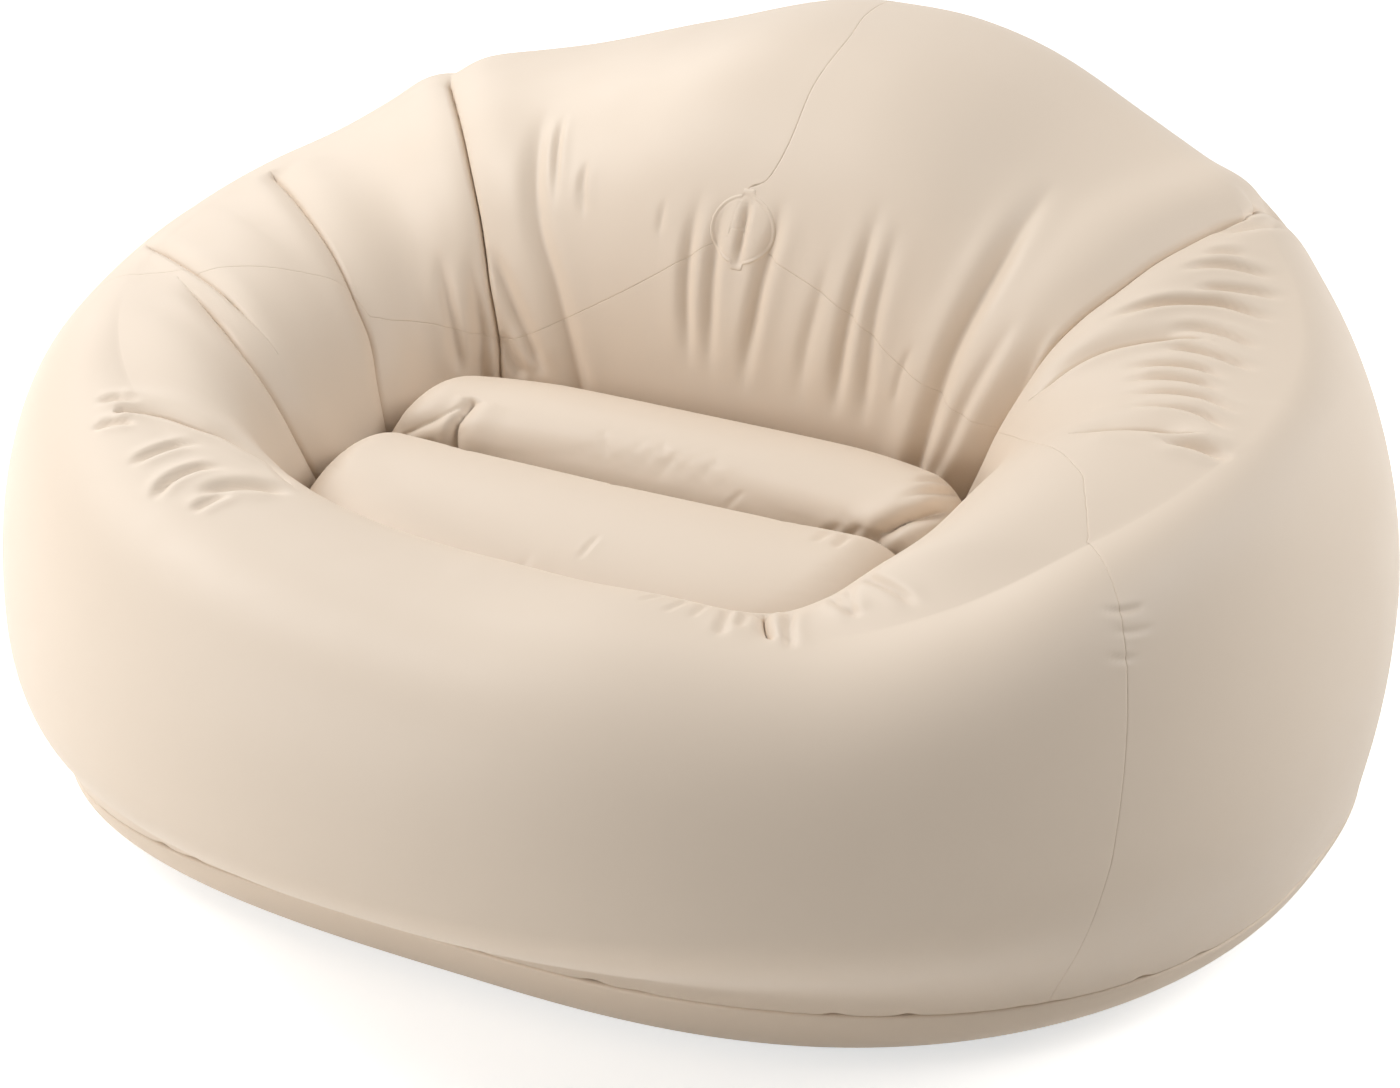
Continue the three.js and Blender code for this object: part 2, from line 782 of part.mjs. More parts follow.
// Solid turned about the Y axis from a closed profile of [radius, y] points
function turned(profile) {
  const points = [...profile, profile[0]].map(([radius, y]) => new THREE.Vector2(radius, y));
  return new THREE.LatheGeometry(points, valveFaces);
}

function block(x0, x1, y0, y1, z0, z1) {
  const box = new THREE.BoxGeometry(x1 - x0, y1 - y0, z1 - z0);
  return box.translate((x0 + x1) / 2, (y0 + y1) / 2, (z0 + z1) / 2);
}

// Round patch with a weld bead near its edge, lying on the flat spot of the back
function backPatch() {
  const bottom = weldGap;
  const top = bottom + patchThickness;
  const profile = [
    [0, bottom],
    [patchRadius, bottom],
    [patchRadius, top],
    [patchBeadRadius + patchBeadWidth / 2, top],
    [patchBeadRadius, top + patchThickness],
    [patchBeadRadius - patchBeadWidth / 2, top],
    [0, top],
  ].map(([radius, y]) => new THREE.Vector2(radius, y));
  return new THREE.LatheGeometry(profile, valveFaces);
}
const patch = addPiece(chair, "back_patch", backPatch(), vinyl);
patch.position.copy(patchCentre);
patch.quaternion.setFromUnitVectors(new THREE.Vector3(0, 1, 0), patchNormal);

// Valve pieces, turned about the valve's own axis, which points out of the back
const valve = new THREE.Group();
valve.position.copy(valveCentre);
valve.rotation.z = valveTurn;
chair.add(valve);

const collarBore = collarRadius - collarWall;
const flangeTop = -skinThickness - weldGap;
const flangeFoot = flangeTop - valveFlangeThickness;
const valveBase = turned([
  [collarBore, -collarDepth],
  [collarRadius, -collarDepth],
  [collarRadius, flangeFoot],
  [valveFlangeRadius, flangeFoot],
  [valveFlangeRadius, flangeTop],
  [collarRadius, flangeTop],
  [collarRadius, collarProud],
  [collarBore, collarProud],
]);
addPiece(valve, "valve_base", valveBase, valvePlastic);

const plugRadius = collarBore - plugClearance;
const plugBore = plugRadius - plugWall;
const plugFoot = collarProud + weldGap;
const plugTop = plugFoot + plugFlangeThickness;
const hingeX = -(plugFlangeRadius + hingeReach);
const plugBarrel = turned([
  [flapSeatRadius, -plugDepth],
  [plugRadius, -plugDepth],
  [plugRadius, plugFoot],
  [plugFlangeRadius, plugFoot],
  [plugFlangeRadius, plugTop],
  [plugBore, plugTop],
  [plugBore, -plugDepth + flapSeatThickness],
  [flapSeatRadius, -plugDepth + flapSeatThickness],
]);
const plugEar = block(hingeX, -plugRadius, plugFoot, plugTop, -hingeWidth / 2, hingeWidth / 2);
addPiece(valve, "valve_plug", join([plugBarrel, plugEar]), valvePlastic);

const flapRadius = flapSeatRadius + flapOverlap;
const flapTop = -plugDepth - weldGap;
const flapDisc = turnedDisc(flapRadius, flapTop - flapThickness, flapTop);
addPiece(valve, "check_flap", flapDisc, flapRubber);

function turnedDisc(radius, bottom, top) {
  const profile = [
    [0, bottom],
    [radius, bottom],
    [radius, top],
    [0, top],
  ].map(([r, y]) => new THREE.Vector2(r, y));
  return new THREE.LatheGeometry(profile, valveFaces);
}

const capFoot = plugTop + weldGap;
const capTop = capFoot + capThickness;
const spigotRadius = plugBore - weldGap;
const capDisc = turnedDisc(capRadius, capFoot, capTop);
const capSpigot = turned([
  [spigotRadius - capSpigotWall, capFoot - capSpigotDepth],
  [spigotRadius, capFoot - capSpigotDepth],
  [spigotRadius, capFoot + capThickness / 2],
  [spigotRadius - capSpigotWall, capFoot + capThickness / 2],
]);
const capTongue = block(hingeX, -spigotRadius, capFoot, capTop, -hingeWidth / 2, hingeWidth / 2);
const capTab = block(
  spigotRadius,
  capRadius + capTabLength,
  capFoot,
  capTop,
  -capTabWidth / 2,
  capTabWidth / 2,
);
const valveCap = join([capDisc, capSpigot, capTongue, capTab]);
addPiece(valve, "valve_cap", valveCap, valvePlastic);

// Tether: a ring round the collar with a post that ends beside the plug's rim
const tetherBore = collarRadius + weldGap;
const tetherFoot = weldGap;
const tetherTop = tetherFoot + tetherThickness;
const tetherRim = tetherBore + tetherRingWidth;
const tetherRing = turned([
  [tetherBore, tetherFoot],
  [tetherRim, tetherFoot],
  [tetherRim, tetherTop],
  [tetherBore, tetherTop],
]);
const postNear = plugFlangeRadius + weldGap;
const postFar = postNear + tetherThickness;
const strapNear = tetherBore + tetherRingWidth / 2;
const postHalf = tetherPostWidth / 2;
const strap = block(-postHalf, postHalf, tetherFoot, tetherTop, strapNear, postFar);
const post = block(-postHalf, postHalf, tetherFoot, plugTop, postNear, postFar);
addPiece(valve, "plug_tether", join([tetherRing, strap, post]), valvePlastic);

export default chair;
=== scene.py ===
# %% [markdown]
# # An inflatable lounge chair
#
# The chair is a ball of welded vinyl, blown up with air. Webs inside it draw the middle of the top
# down into a seat, so the rim stands up as a front lip, two arms and a back. The skin is tight where
# it bulges out and slack where it turns into the seat, and there the spare sheet falls into creases.
#
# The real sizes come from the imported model, which is loaded first as a fixed frame. Everything that
# is made here is laid on that frame in metres, with +Z up and the front of the chair towards -Y.

# %% Load the frame
import math

import bmesh
import bpy
import numpy as np
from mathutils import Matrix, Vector
from mathutils.bvhtree import BVHTree


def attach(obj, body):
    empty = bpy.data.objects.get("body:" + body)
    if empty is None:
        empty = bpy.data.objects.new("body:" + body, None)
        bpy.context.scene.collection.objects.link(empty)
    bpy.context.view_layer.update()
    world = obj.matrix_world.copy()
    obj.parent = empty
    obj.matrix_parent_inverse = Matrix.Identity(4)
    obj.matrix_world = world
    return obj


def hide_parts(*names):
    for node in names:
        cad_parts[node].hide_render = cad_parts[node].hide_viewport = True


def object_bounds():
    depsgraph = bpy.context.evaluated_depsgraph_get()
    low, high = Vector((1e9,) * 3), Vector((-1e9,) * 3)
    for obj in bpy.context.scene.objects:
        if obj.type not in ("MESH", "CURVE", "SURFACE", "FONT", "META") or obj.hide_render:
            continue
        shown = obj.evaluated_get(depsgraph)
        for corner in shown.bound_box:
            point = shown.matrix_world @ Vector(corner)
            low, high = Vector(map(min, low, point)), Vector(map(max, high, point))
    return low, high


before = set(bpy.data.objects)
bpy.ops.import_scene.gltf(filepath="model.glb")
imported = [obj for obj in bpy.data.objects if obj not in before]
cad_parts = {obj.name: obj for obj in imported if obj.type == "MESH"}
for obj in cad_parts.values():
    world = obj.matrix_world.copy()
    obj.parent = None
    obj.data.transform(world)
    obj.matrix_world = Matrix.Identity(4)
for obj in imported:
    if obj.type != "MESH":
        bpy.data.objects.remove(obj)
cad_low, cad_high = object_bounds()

MM = 0.001
scene = bpy.context.scene
print("CAD box:", [round(v, 3) for v in cad_low], [round(v, 3) for v in cad_high])

# %% [markdown]
# ## The camera
#
# The photograph is taken from the front, a little to the chair's right and well above it. A camera
# could be moved by hand until the picture looks right. This one was worked out instead, by fitting the
# outline, the base seam and the seat tubes, because it has a second use: the seams and creases are
# placed by looking through it. So it comes before the skin.

# %% Camera
PHOTO_WIDTH = 1400
PHOTO_HEIGHT = 1088
FOCAL_PIXELS = 3363
SENSOR_WIDTH = 36
CAMERA_AZIMUTH = math.radians(28.6)
CAMERA_ELEVATION = math.radians(25)
CAMERA_DISTANCE = 3.3
LOOK_AT = Vector((0.021, -0.047, 0.331))

to_camera = Vector((
    math.sin(CAMERA_AZIMUTH) * math.cos(CAMERA_ELEVATION),
    -math.cos(CAMERA_AZIMUTH) * math.cos(CAMERA_ELEVATION),
    math.sin(CAMERA_ELEVATION),
))
camera = bpy.data.objects.new("camera", bpy.data.cameras.new("camera"))
scene.collection.objects.link(camera)
camera.location = LOOK_AT + to_camera * CAMERA_DISTANCE
camera.rotation_euler = (-to_camera).to_track_quat("-Z", "Y").to_euler()
camera.data.sensor_width = SENSOR_WIDTH
camera.data.lens = SENSOR_WIDTH * FOCAL_PIXELS / PHOTO_WIDTH
scene.camera = camera
camera_right = Vector((math.cos(CAMERA_AZIMUTH), math.sin(CAMERA_AZIMUTH), 0))
camera_up = to_camera.cross(camera_right)
print("lens:", round(camera.data.lens, 2), "mm")


def pixel_ray(pixel):
    """Direction from the camera through a pixel of the photograph."""
    across = (pixel[0] - PHOTO_WIDTH / 2) / FOCAL_PIXELS
    up = (PHOTO_HEIGHT / 2 - pixel[1]) / FOCAL_PIXELS
    return (camera_right * across + camera_up * up - to_camera).normalized()


# %% [markdown]
# ## The shape of the skin
#
# The skin of the real chair is a few flat sheets that air has blown round. It could be a cage of a few
# faces under a subdivision modifier. Here it is one smooth surface by formula, because the panels, the
# base, the patch and every crease can then be laid on the same surface and meet without a gap.
#
# A place on it is an angle round the chair (0 at the front, 90 at the sitter's left hand) and a level:
# 0 is the edge of the flat floor patch, 1 the base weld, 2 the belly, 3 the crest of the rim and 4 the
# foot of the well that the seat lies in. Five plan outlines carry it, and quarter arcs join them.

# %% Driving sizes
BELLY_HALF_WIDTH = cad_high.x
BELLY_FRONT = -cad_low.y
BELLY_BACK = cad_high.y
BACK_HEIGHT = cad_high.z
LIP_HEIGHT = 470 * MM
SEAM_HEIGHT = 80 * MM
WELL_HALF_WIDTH = 313 * MM
WELL_FRONT = 365 * MM
WELL_BACK = 58 * MM
WELL_FOOT_HEIGHT = 360 * MM
WELL_CORNERS = 0.45
VALLEY_SETBACK = 125 * MM
BASE_MIDDLE = 90 * MM
WELD, BELLY, CREST, FOOT = 1, 2, 3, 4

# Each outline: half width, front, back, middle, and how square its corners are: 1 is an ellipse, less is
# squarer, at the front left, the front right and the back
FLOOR_RING = (375 * MM, 330 * MM, 500 * MM, BASE_MIDDLE, 0.7, 0.56, 0.9)
SEAM_RING = (632 * MM, 452 * MM, 575 * MM, BASE_MIDDLE, 0.53, 0.86, 0.8)
BELLY_RING = (BELLY_HALF_WIDTH, BELLY_FRONT, BELLY_BACK, 0, 0.9, 0.9, 1.0)
CREST_RING = (580 * MM, 478 * MM, 375 * MM, 0, 0.9, 0.9, 0.9)
WELL_RING = (WELL_HALF_WIDTH, WELL_FRONT, WELL_BACK, -VALLEY_SETBACK,
             WELL_CORNERS, WELL_CORNERS, WELL_CORNERS)
print("well:", round(2 * WELL_HALF_WIDTH, 3), "m wide and", round(WELL_FRONT + WELL_BACK, 3), "m deep")

# %% How heights and arcs change round the chair
BELLY_HEIGHTS = ((0, 240 * MM), (90, 325 * MM), (180, 300 * MM))
# The crest climbs from the lip, 0, to the top of the back, 1, and never quite evenly
CREST_SHARES = ((-180, 1), (-163, 0.857), (-150, 0.745), (-138, 0.69), (-130, 0.645), (-123, 0.55),
                (-114, 0.455), (-104, 0.40), (-90, 0.337), (-75, 0.275), (-60, 0.25), (-45, 0.17),
                (0, -0.01), (15, -0.01), (32, -0.03), (45, 0.05), (60, 0.19), (90, 0.36), (110, 0.47),
                (128, 0.605), (137, 0.68), (145, 0.715), (154, 0.795), (165, 0.93), (173, 0.99), (180, 1))
# An arc is even at 1, fuller below it and flatter above it
UNDER_ARC_POWERS = ((0, 1.6), (90, 1.1), (180, 1))
UPPER_ARC_POWERS = ((-180, 1), (-90, 1), (0, 0.75), (85, 1), (115, 1.2), (145, 1.05), (180, 1))
WELL_ARC_POWERS = ((0, 0.55), (90, 0.8), (180, 0.7))


def along(stations, place):
    """Smooth curve through (place, value) stations, level at both ends."""
    places, values = np.array(stations, float).T
    slopes = np.zeros(len(places))
    slopes[1:-1] = (values[2:] - values[:-2]) / (places[2:] - places[:-2])
    i = np.clip(np.searchsorted(places, place) - 1, 0, len(places) - 2)
    span = places[i + 1] - places[i]
    u = np.clip((place - places[i]) / span, 0, 1)
    rise = u * u * (3 - 2 * u)
    ease = u * (1 - u) ** 2 * span * slopes[i] + u * u * (u - 1) * span * slopes[i + 1]
    return values[i] + (values[i + 1] - values[i]) * rise + ease


print("the arm's crest is", round(float(along(CREST_SHARES, 90)), 2), "of the way from the lip to the back")

# %% Plan outlines
def ring(angle, half_width, front, back, middle, front_left, front_right, rear):
    """Plan outline at angles in radians: a superellipse whose widest place may lie off its middle."""
    sine, cosine = np.sin(angle), np.cos(angle)
    power = np.where(cosine > 0, np.where(sine < 0, front_left, front_right), rear)
    reach = np.where(cosine > 0, -front, back)
    x = half_width * np.sign(sine) * np.abs(sine) ** power
    return x, middle + (reach - middle) * np.abs(cosine) ** power


belly_side, _ = ring(math.radians(90), *BELLY_RING)
print("the belly is", round(2 * float(belly_side), 3), "m wide")


# %% The smooth skin
def skin(angle, level):
    """Points of the smooth skin at angles in degrees and levels."""
    angle, level = np.broadcast_arrays(np.asarray(angle, float), np.asarray(level, float))
    bearing = (angle + 180) % 360 - 180
    place = np.abs(bearing)
    turn = np.radians(angle)
    crest_height = LIP_HEIGHT + (BACK_HEIGHT - LIP_HEIGHT) * along(CREST_SHARES, bearing)
    heights = [0 * place, SEAM_HEIGHT + 0 * place, along(BELLY_HEIGHTS, place),
               crest_height, WELL_FOOT_HEIGHT + 0 * place]
    rings = [ring(turn, *values) for values in (FLOOR_RING, SEAM_RING, BELLY_RING, CREST_RING, WELL_RING)]
    step = np.clip(np.floor(level), 0, CREST).astype(int)
    u = level - step
    sine = np.abs(np.sin(u * math.pi / 2))
    cosine = np.abs(np.cos(u * math.pi / 2))
    upper = along(UPPER_ARC_POWERS, bearing)
    well = along(WELL_ARC_POWERS, place)
    under = along(UNDER_ARC_POWERS, place)
    across = np.choose(step, [sine, sine ** under, 1 - cosine ** upper, sine ** well])
    up = np.choose(step, [1 - cosine, u, sine ** upper, 1 - cosine ** well])

    def blend(values, share):
        """Value part of the way from the outline below to the one above."""
        start = np.choose(step, values[:4])
        return start + (np.choose(step, values[1:]) - start) * share

    x = blend([r[0] for r in rings], across)
    y = blend([r[1] for r in rings], across)
    return np.stack([x, y, blend(heights, up)], -1)


print("belly at the side:", skin(90, BELLY).round(3), " crest at the back:", skin(180, CREST).round(3))

# %% Which way is out
NORMAL_TURN = 0.5
NORMAL_LIFT = 0.02


def skin_normal(angle, level):
    """Outward directions of the smooth skin."""
    low = np.maximum(level - NORMAL_LIFT, 0)
    high = np.minimum(level + NORMAL_LIFT, FOOT)
    sideways = skin(angle + NORMAL_TURN, level) - skin(angle - NORMAL_TURN, level)
    normal = np.cross(sideways, skin(angle, high) - skin(angle, low))
    return normal / np.maximum(np.linalg.norm(normal, axis=-1, keepdims=True), 1e-12)


print("outwards from the top of the lip:", skin_normal(0, CREST).round(2))

# %% [markdown]
# ## Columns that share a ring out evenly
#
# The welds of the real chair run down the sheet and cut it into panels. A grid of equal angles between
# two of them would be easy, but it would bunch up at the square corners of the well. So the columns of
# each panel are placed by length along the ring: a table holds, for a set of levels, the angles that
# share the stretch between two welds out evenly.

# %% Lengths round the chair
# Angles of each weld line on the crest, at the foot of the well and at the base weld
LEFT_SEAM = {"crest": -72, "foot": -48, "low": -62}
RIGHT_SEAM = {"crest": 60, "foot": 52, "low": 50}
BACK_LEFT = {"crest": -180, "foot": -180, "low": -180}
BACK_RIGHT = {"crest": 180, "foot": 180, "low": 180}
# The back seam wanders a little from the middle line on its way down the well
BACK_SEAM_BEND = ((0, 0), (0.12, -0.45), (0.3, -0.29), (0.45, -0.25), (0.65, 0.12), (1, 0))
LEVEL_STEPS = 30
TABLE_LEVELS = np.linspace(WELD, FOOT, LEVEL_STEPS * (FOOT - WELD) + 1)
# Each quarter turn is measured in steps that crowd at its ends, where a squarish ring runs fastest
QUARTER_STEPS = 400
STEP_CROWDING = 2.2
step_share = np.linspace(0, 1, QUARTER_STEPS) ** STEP_CROWDING
step_share = step_share / (step_share + step_share[::-1])
RING_ANGLES = np.unique(np.concatenate([90 * (quarter + step_share) for quarter in range(-3, 3)]))
ring_steps = [np.linalg.norm(np.diff(skin(RING_ANGLES, v), axis=0), axis=1) for v in TABLE_LEVELS]
RING_LENGTHS = [np.concatenate([[0], np.cumsum(steps)]) for steps in ring_steps]
print("one and a half turns round the belly:", round(RING_LENGTHS[LEVEL_STEPS][-1], 2), "m")


# %% Tables of angles
def guide_angle(guide, level):
    """Angle of a weld line at a level: straight down the well, bending to its low end outside."""
    drop = np.clip((CREST - level) / (CREST - WELD), 0, 1)
    inside = np.clip(level - CREST, 0, 1)
    outside_angle = guide["crest"] + (guide["low"] - guide["crest"]) * drop ** 2
    bend = along(BACK_SEAM_BEND, inside) if abs(guide["foot"]) == 180 else 0
    return outside_angle + (guide["foot"] - guide["crest"]) * inside + bend


def column_table(start, end, shares):
    """Angles at each table level that lie at the shares of the ring between two weld lines."""
    rows = []
    for level, lengths in zip(TABLE_LEVELS, RING_LENGTHS):
        ends = np.interp([guide_angle(start, level), guide_angle(end, level)], RING_ANGLES, lengths)
        rows.append(np.interp(ends[0] + (ends[1] - ends[0]) * shares, lengths, RING_ANGLES))
    return np.array(rows)


def angles_at(table, levels):
    """Angle of each column of a table at its own levels (rows by columns)."""
    return np.stack([np.interp(levels[:, k], TABLE_LEVELS, table[:, k]) for k in range(table.shape[1])], 1)


front_middle = column_table(LEFT_SEAM, RIGHT_SEAM, np.array([0.5]))
print("middle of the front panel at the base weld:", round(float(front_middle[0, 0]), 1), "degrees")

# %% [markdown]
# ## Lines on the skin, by looking at it
#
# Seams and creases are drawn where the photograph shows them: a few pixels, chosen along the line. They
# could be modelled as curves in space, but a photograph gives no depth. So each is looked at through the
# camera until it meets the smooth skin, and the line then lies on the chair from every side.

# %% A coarse skin to look at
GUIDE_COLUMNS, GUIDE_ROWS = 540, 150


def unit_grid(across, up):
    """A flat grid of so many cells, and how far across and up it each vertex lies, from 0 to 1."""
    bm = bmesh.new()
    bmesh.ops.create_grid(bm, x_segments=across, y_segments=up, size=0.5)
    return bm, np.array([v.co[:2] for v in bm.verts]) + 0.5


def grid_places(shares, across, up):
    """Column and row of every vertex of a unit grid."""
    return np.rint(shares[:, 0] * across).astype(int), np.rint(shares[:, 1] * up).astype(int)


def guide_tree():
    """Coarse closed skin to look at through the camera."""
    bm, shares = unit_grid(GUIDE_COLUMNS, GUIDE_ROWS)
    column, row = grid_places(shares, GUIDE_COLUMNS, GUIDE_ROWS)
    table = column_table(BACK_LEFT, BACK_RIGHT, np.linspace(0, 1, GUIDE_COLUMNS + 1))
    row_levels = WELD + (FOOT - WELD) * np.linspace(0, 1, GUIDE_ROWS + 1)
    angles = angles_at(table, np.repeat(row_levels[:, None], GUIDE_COLUMNS + 1, 1))
    levels = WELD + (FOOT - WELD) * shares[:, 1]
    for vert, point in zip(bm.verts, skin(angles[row, column], levels)):
        vert.co = point
    tree = BVHTree.FromBMesh(bm)
    bm.free()
    return tree


skin_tree = guide_tree()
print("skin to look at:", GUIDE_COLUMNS * GUIDE_ROWS, "cells")

# %% From pixels to a line in space
PATH_POINTS = 28


def smooth_path(pixels):
    """Even points on a smooth curve through given pixels."""
    pixels = np.array(pixels, float)
    chord = np.concatenate([[0], np.cumsum(np.linalg.norm(np.diff(pixels, axis=0), axis=1))])
    slopes = np.gradient(pixels, chord, axis=0)
    t = np.linspace(0, chord[-1], PATH_POINTS)
    i = np.clip(np.searchsorted(chord, t) - 1, 0, len(chord) - 2)
    span = (chord[i + 1] - chord[i])[:, None]
    u = (t - chord[i])[:, None] / span
    rise = u * u * (3 - 2 * u)
    ease = u * (1 - u) ** 2 * span * slopes[i] + u * u * (u - 1) * span * slopes[i + 1]
    return pixels[i] + (pixels[i + 1] - pixels[i]) * rise + ease


def on_surface(tree, pixels):
    """Line in space where a smooth curve of pixels meets a surface."""
    hits = [tree.ray_cast(camera.location, pixel_ray(p))[0] for p in smooth_path(pixels)]
    return np.array([tuple(hit) for hit in hits if hit is not None])


def line_length(line):
    """Length of a line in space."""
    return np.linalg.norm(np.diff(line, axis=0), axis=1).sum()


BELLY_STROKE_PIXELS = ((300, 700), (700, 750))
stroke = on_surface(skin_tree, BELLY_STROKE_PIXELS)
print("a stroke over the front of the belly is", round(line_length(stroke), 2), "m long")

# %% Seams in the well
PATCH_LEVEL = 3.665
PATCH_OFFSET = -6 * MM
PATCH_CENTRE = skin(180, PATCH_LEVEL) * (0, 1, 1) + (PATCH_OFFSET, 0, 0)
PATCH_NORMAL = skin_normal(180, PATCH_LEVEL)
LEFT_SEAM_PIXELS = ((205, 270), (250, 266), (300, 272), (340, 283), (356, 290), (366, 312), (378, 318),
                    (420, 322), (470, 333), (500, 340), (515, 340), (540, 330), (572, 316), (640, 283),
                    (712, 243))
RIGHT_SEAM_PIXELS = ((1083, 475), (1058, 450), (1030, 442), (1003, 434), (975, 424), (945, 400), (905, 370),
                     (865, 330), (820, 292), (775, 262))


def seam_line(guide, pixels):
    """A seam in space, from where it crosses the crest to the middle of the patch."""
    start = skin(guide["crest"], CREST)
    return np.concatenate([start[None], on_surface(skin_tree, pixels), PATCH_CENTRE[None]])


left_seam_line = seam_line(LEFT_SEAM, LEFT_SEAM_PIXELS)
right_seam_line = seam_line(RIGHT_SEAM, RIGHT_SEAM_PIXELS)
print("seams in the well:", round(line_length(left_seam_line), 2), "m and",
      round(line_length(right_seam_line), 2), "m")

# %% [markdown]
# ## Panels
#
# Three welded sheets make the upper skin: the front one also lines the foot of the well all round,
# and the two back ones meet in a seam down the middle of the back. One mesh with lines drawn on it
# would look flat there. As the sheets are separate grids, each border can roll in over its own weld,
# and for that its rows and columns crowd together at the welds.

# %% Columns of the panels
EDGE_STEPS = np.array([0.01, 0.4, 1.2, 2.6]) * MM
LEFT_COLUMNS, FRONT_COLUMNS, RIGHT_COLUMNS = 300, 340, 325
# About how wide each panel is, in metres
LEFT_WIDTH, FRONT_WIDTH, RIGHT_WIDTH = 1.0, 1.2, 1.05


def packed_shares(width, count):
    """Shares from one side of a panel to the other, crowded at both and even between."""
    near = EDGE_STEPS / width
    return np.concatenate([near[:-1], np.linspace(near[-1], 1 - near[-1], count), 1 - near[:-1][::-1]])


left_table = column_table(BACK_LEFT, LEFT_SEAM, packed_shares(LEFT_WIDTH, LEFT_COLUMNS))
front_table = column_table(LEFT_SEAM, RIGHT_SEAM, packed_shares(FRONT_WIDTH, FRONT_COLUMNS))
right_table = column_table(RIGHT_SEAM, BACK_RIGHT, packed_shares(RIGHT_WIDTH, RIGHT_COLUMNS))
is_front = slice(left_table.shape[1], left_table.shape[1] + front_table.shape[1])
band_table = np.concatenate([left_table, front_table, right_table], 1)
band_table[:, 0] = [guide_angle(BACK_LEFT, level) for level in TABLE_LEVELS]
band_table[:, -1] = band_table[:, 0] + 360
print("columns:", left_table.shape[1], front_table.shape[1], right_table.shape[1])

# %% Distance from a line
def sides_of(line, points, normals):
    """Distance of points from a line, their side (+1 on its right hand), share along it, nearest point."""
    start, run = line[:-1], np.diff(line, axis=0)
    lengths = np.maximum(np.linalg.norm(run, axis=1), 1e-9)
    passed = np.concatenate([[0], np.cumsum(lengths)])
    offset = points[:, None, :] - start[None]
    share = np.clip((offset * run).sum(2) / lengths ** 2, 0, 1)
    away = offset - share[..., None] * run
    square = (away ** 2).sum(2)
    best = square.argmin(1)
    rows = np.arange(len(points))
    across = np.cross(run[best], normals)
    side = np.sign((across * away[rows, best]).sum(1))
    place = (passed[best] + share[rows, best] * lengths[best]) / passed[-1]
    nearest = start[best] + share[rows, best][:, None] * run[best]
    return np.sqrt(square[rows, best]), side, place, nearest


patch_gap = sides_of(left_seam_line, PATCH_CENTRE[None], PATCH_NORMAL[None])[0]
print("the left seam ends", round(float(patch_gap[0]) / MM, 1), "mm from the middle of the patch")

# %% Where the columns meet the seams
CROSSING_STEPS = 241
SEAM_SMOOTHING = 6


def crossing_levels(table, line):
    """Level at which each column of a table meets a seam line."""
    levels = np.linspace(CREST, FOOT, CROSSING_STEPS)
    meets = []
    for column in table.T:
        angles = np.interp(levels, TABLE_LEVELS, column)
        distance, side, _, _ = sides_of(line, skin(angles, levels), skin_normal(angles, levels))
        near = int(distance.argmin())
        around = [max(near - 1, 0), min(near + 1, len(levels) - 1)]
        gap = (distance * side)[around]
        order = np.argsort(gap)
        meets.append(np.interp(0, gap[order], levels[around][order]))
    meets = np.array(meets)
    for _ in range(SEAM_SMOOTHING):
        meets[1:-1] = (meets[:-2] + 2 * meets[1:-1] + meets[2:]) / 4
    return np.clip(meets, CREST, FOOT)


left_top = crossing_levels(left_table, left_seam_line)
right_top = crossing_levels(right_table, right_seam_line)
front_top = np.full(front_table.shape[1], float(CREST))
band_top = np.concatenate([left_top, front_top, right_top])
band_top[-1] = band_top[0]
print("seams at the patch:", round(left_top[0], 3), round(right_top[-1], 3))

# %% Rows of the panels
# Each list: (row, share of the way from the low border to the high one)
BACK_ROWS = ((0, 0), (70, 0.53), (240, 1))
FRONT_ROWS = ((0, 0), (50, 0.72), (110, 1))
BAND_ROWS = ((0, 0), (90, 1))
# Crowded rows keep to this share of the way to the next row
PACKED_SHARE = 0.8
ROW_LIFT = 0.01


def rows_between(low, high, stations):
    """Levels of the rows between two borders."""
    rows, shares = np.array(stations, float).T
    shares = np.interp(np.arange(rows[-1] + 1), rows, shares)
    return low + (high - low) * shares[:, None]


def pack_rows(levels, table, at_high):
    """Adds crowded rows at the low border of a grid of levels, and at the high one where it is welded."""
    angles = angles_at(table, levels)
    ahead = skin(angles, np.minimum(levels + ROW_LIFT, FOOT))
    rise = np.linalg.norm(ahead - skin(angles, levels - ROW_LIFT), axis=-1)
    per_metre = 2 * ROW_LIFT / np.maximum(rise, 1e-4)

    def crowd(border, space):
        """Levels away from a border of the crowded rows, kept short of the next row."""
        shrink = np.minimum(1, PACKED_SHARE * space / (EDGE_STEPS[-1] * border))
        return [step * border * shrink for step in EDGE_STEPS]

    steps = crowd(per_metre[0], levels[1] - levels[0])
    rows = np.concatenate([[levels[0] + step for step in steps], levels[1:]])
    if at_high:
        steps = crowd(per_metre[-1], levels[-1] - levels[-2])
        rows = np.concatenate([rows[:-1], [levels[-1] - step for step in steps[::-1]]])
    return rows


left_levels = pack_rows(rows_between(WELD, left_top, BACK_ROWS), left_table, True)
right_levels = pack_rows(rows_between(WELD, right_top, BACK_ROWS), right_table, True)
front_levels = pack_rows(rows_between(WELD, front_top, FRONT_ROWS), front_table, False)
band_levels = pack_rows(rows_between(band_top, FOOT, BAND_ROWS), band_table, False)
band_levels[0, is_front] = CREST
print("rows:", len(left_levels), len(front_levels), len(band_levels))

# %% [markdown]
# ## Creases
#
# Where the sheet has more length than the air can stretch, it folds: deep at the corners of the back
# and of the arm, fine over the arms and the lip. A cloth simulation of the whole chair would wrinkle
# too, but in places of its own. So every crease is a line at the place where the photograph has it, and
# the skin sinks along the line and swells beside it, sharply where the sheet doubles over and softly
# where it only buckles.

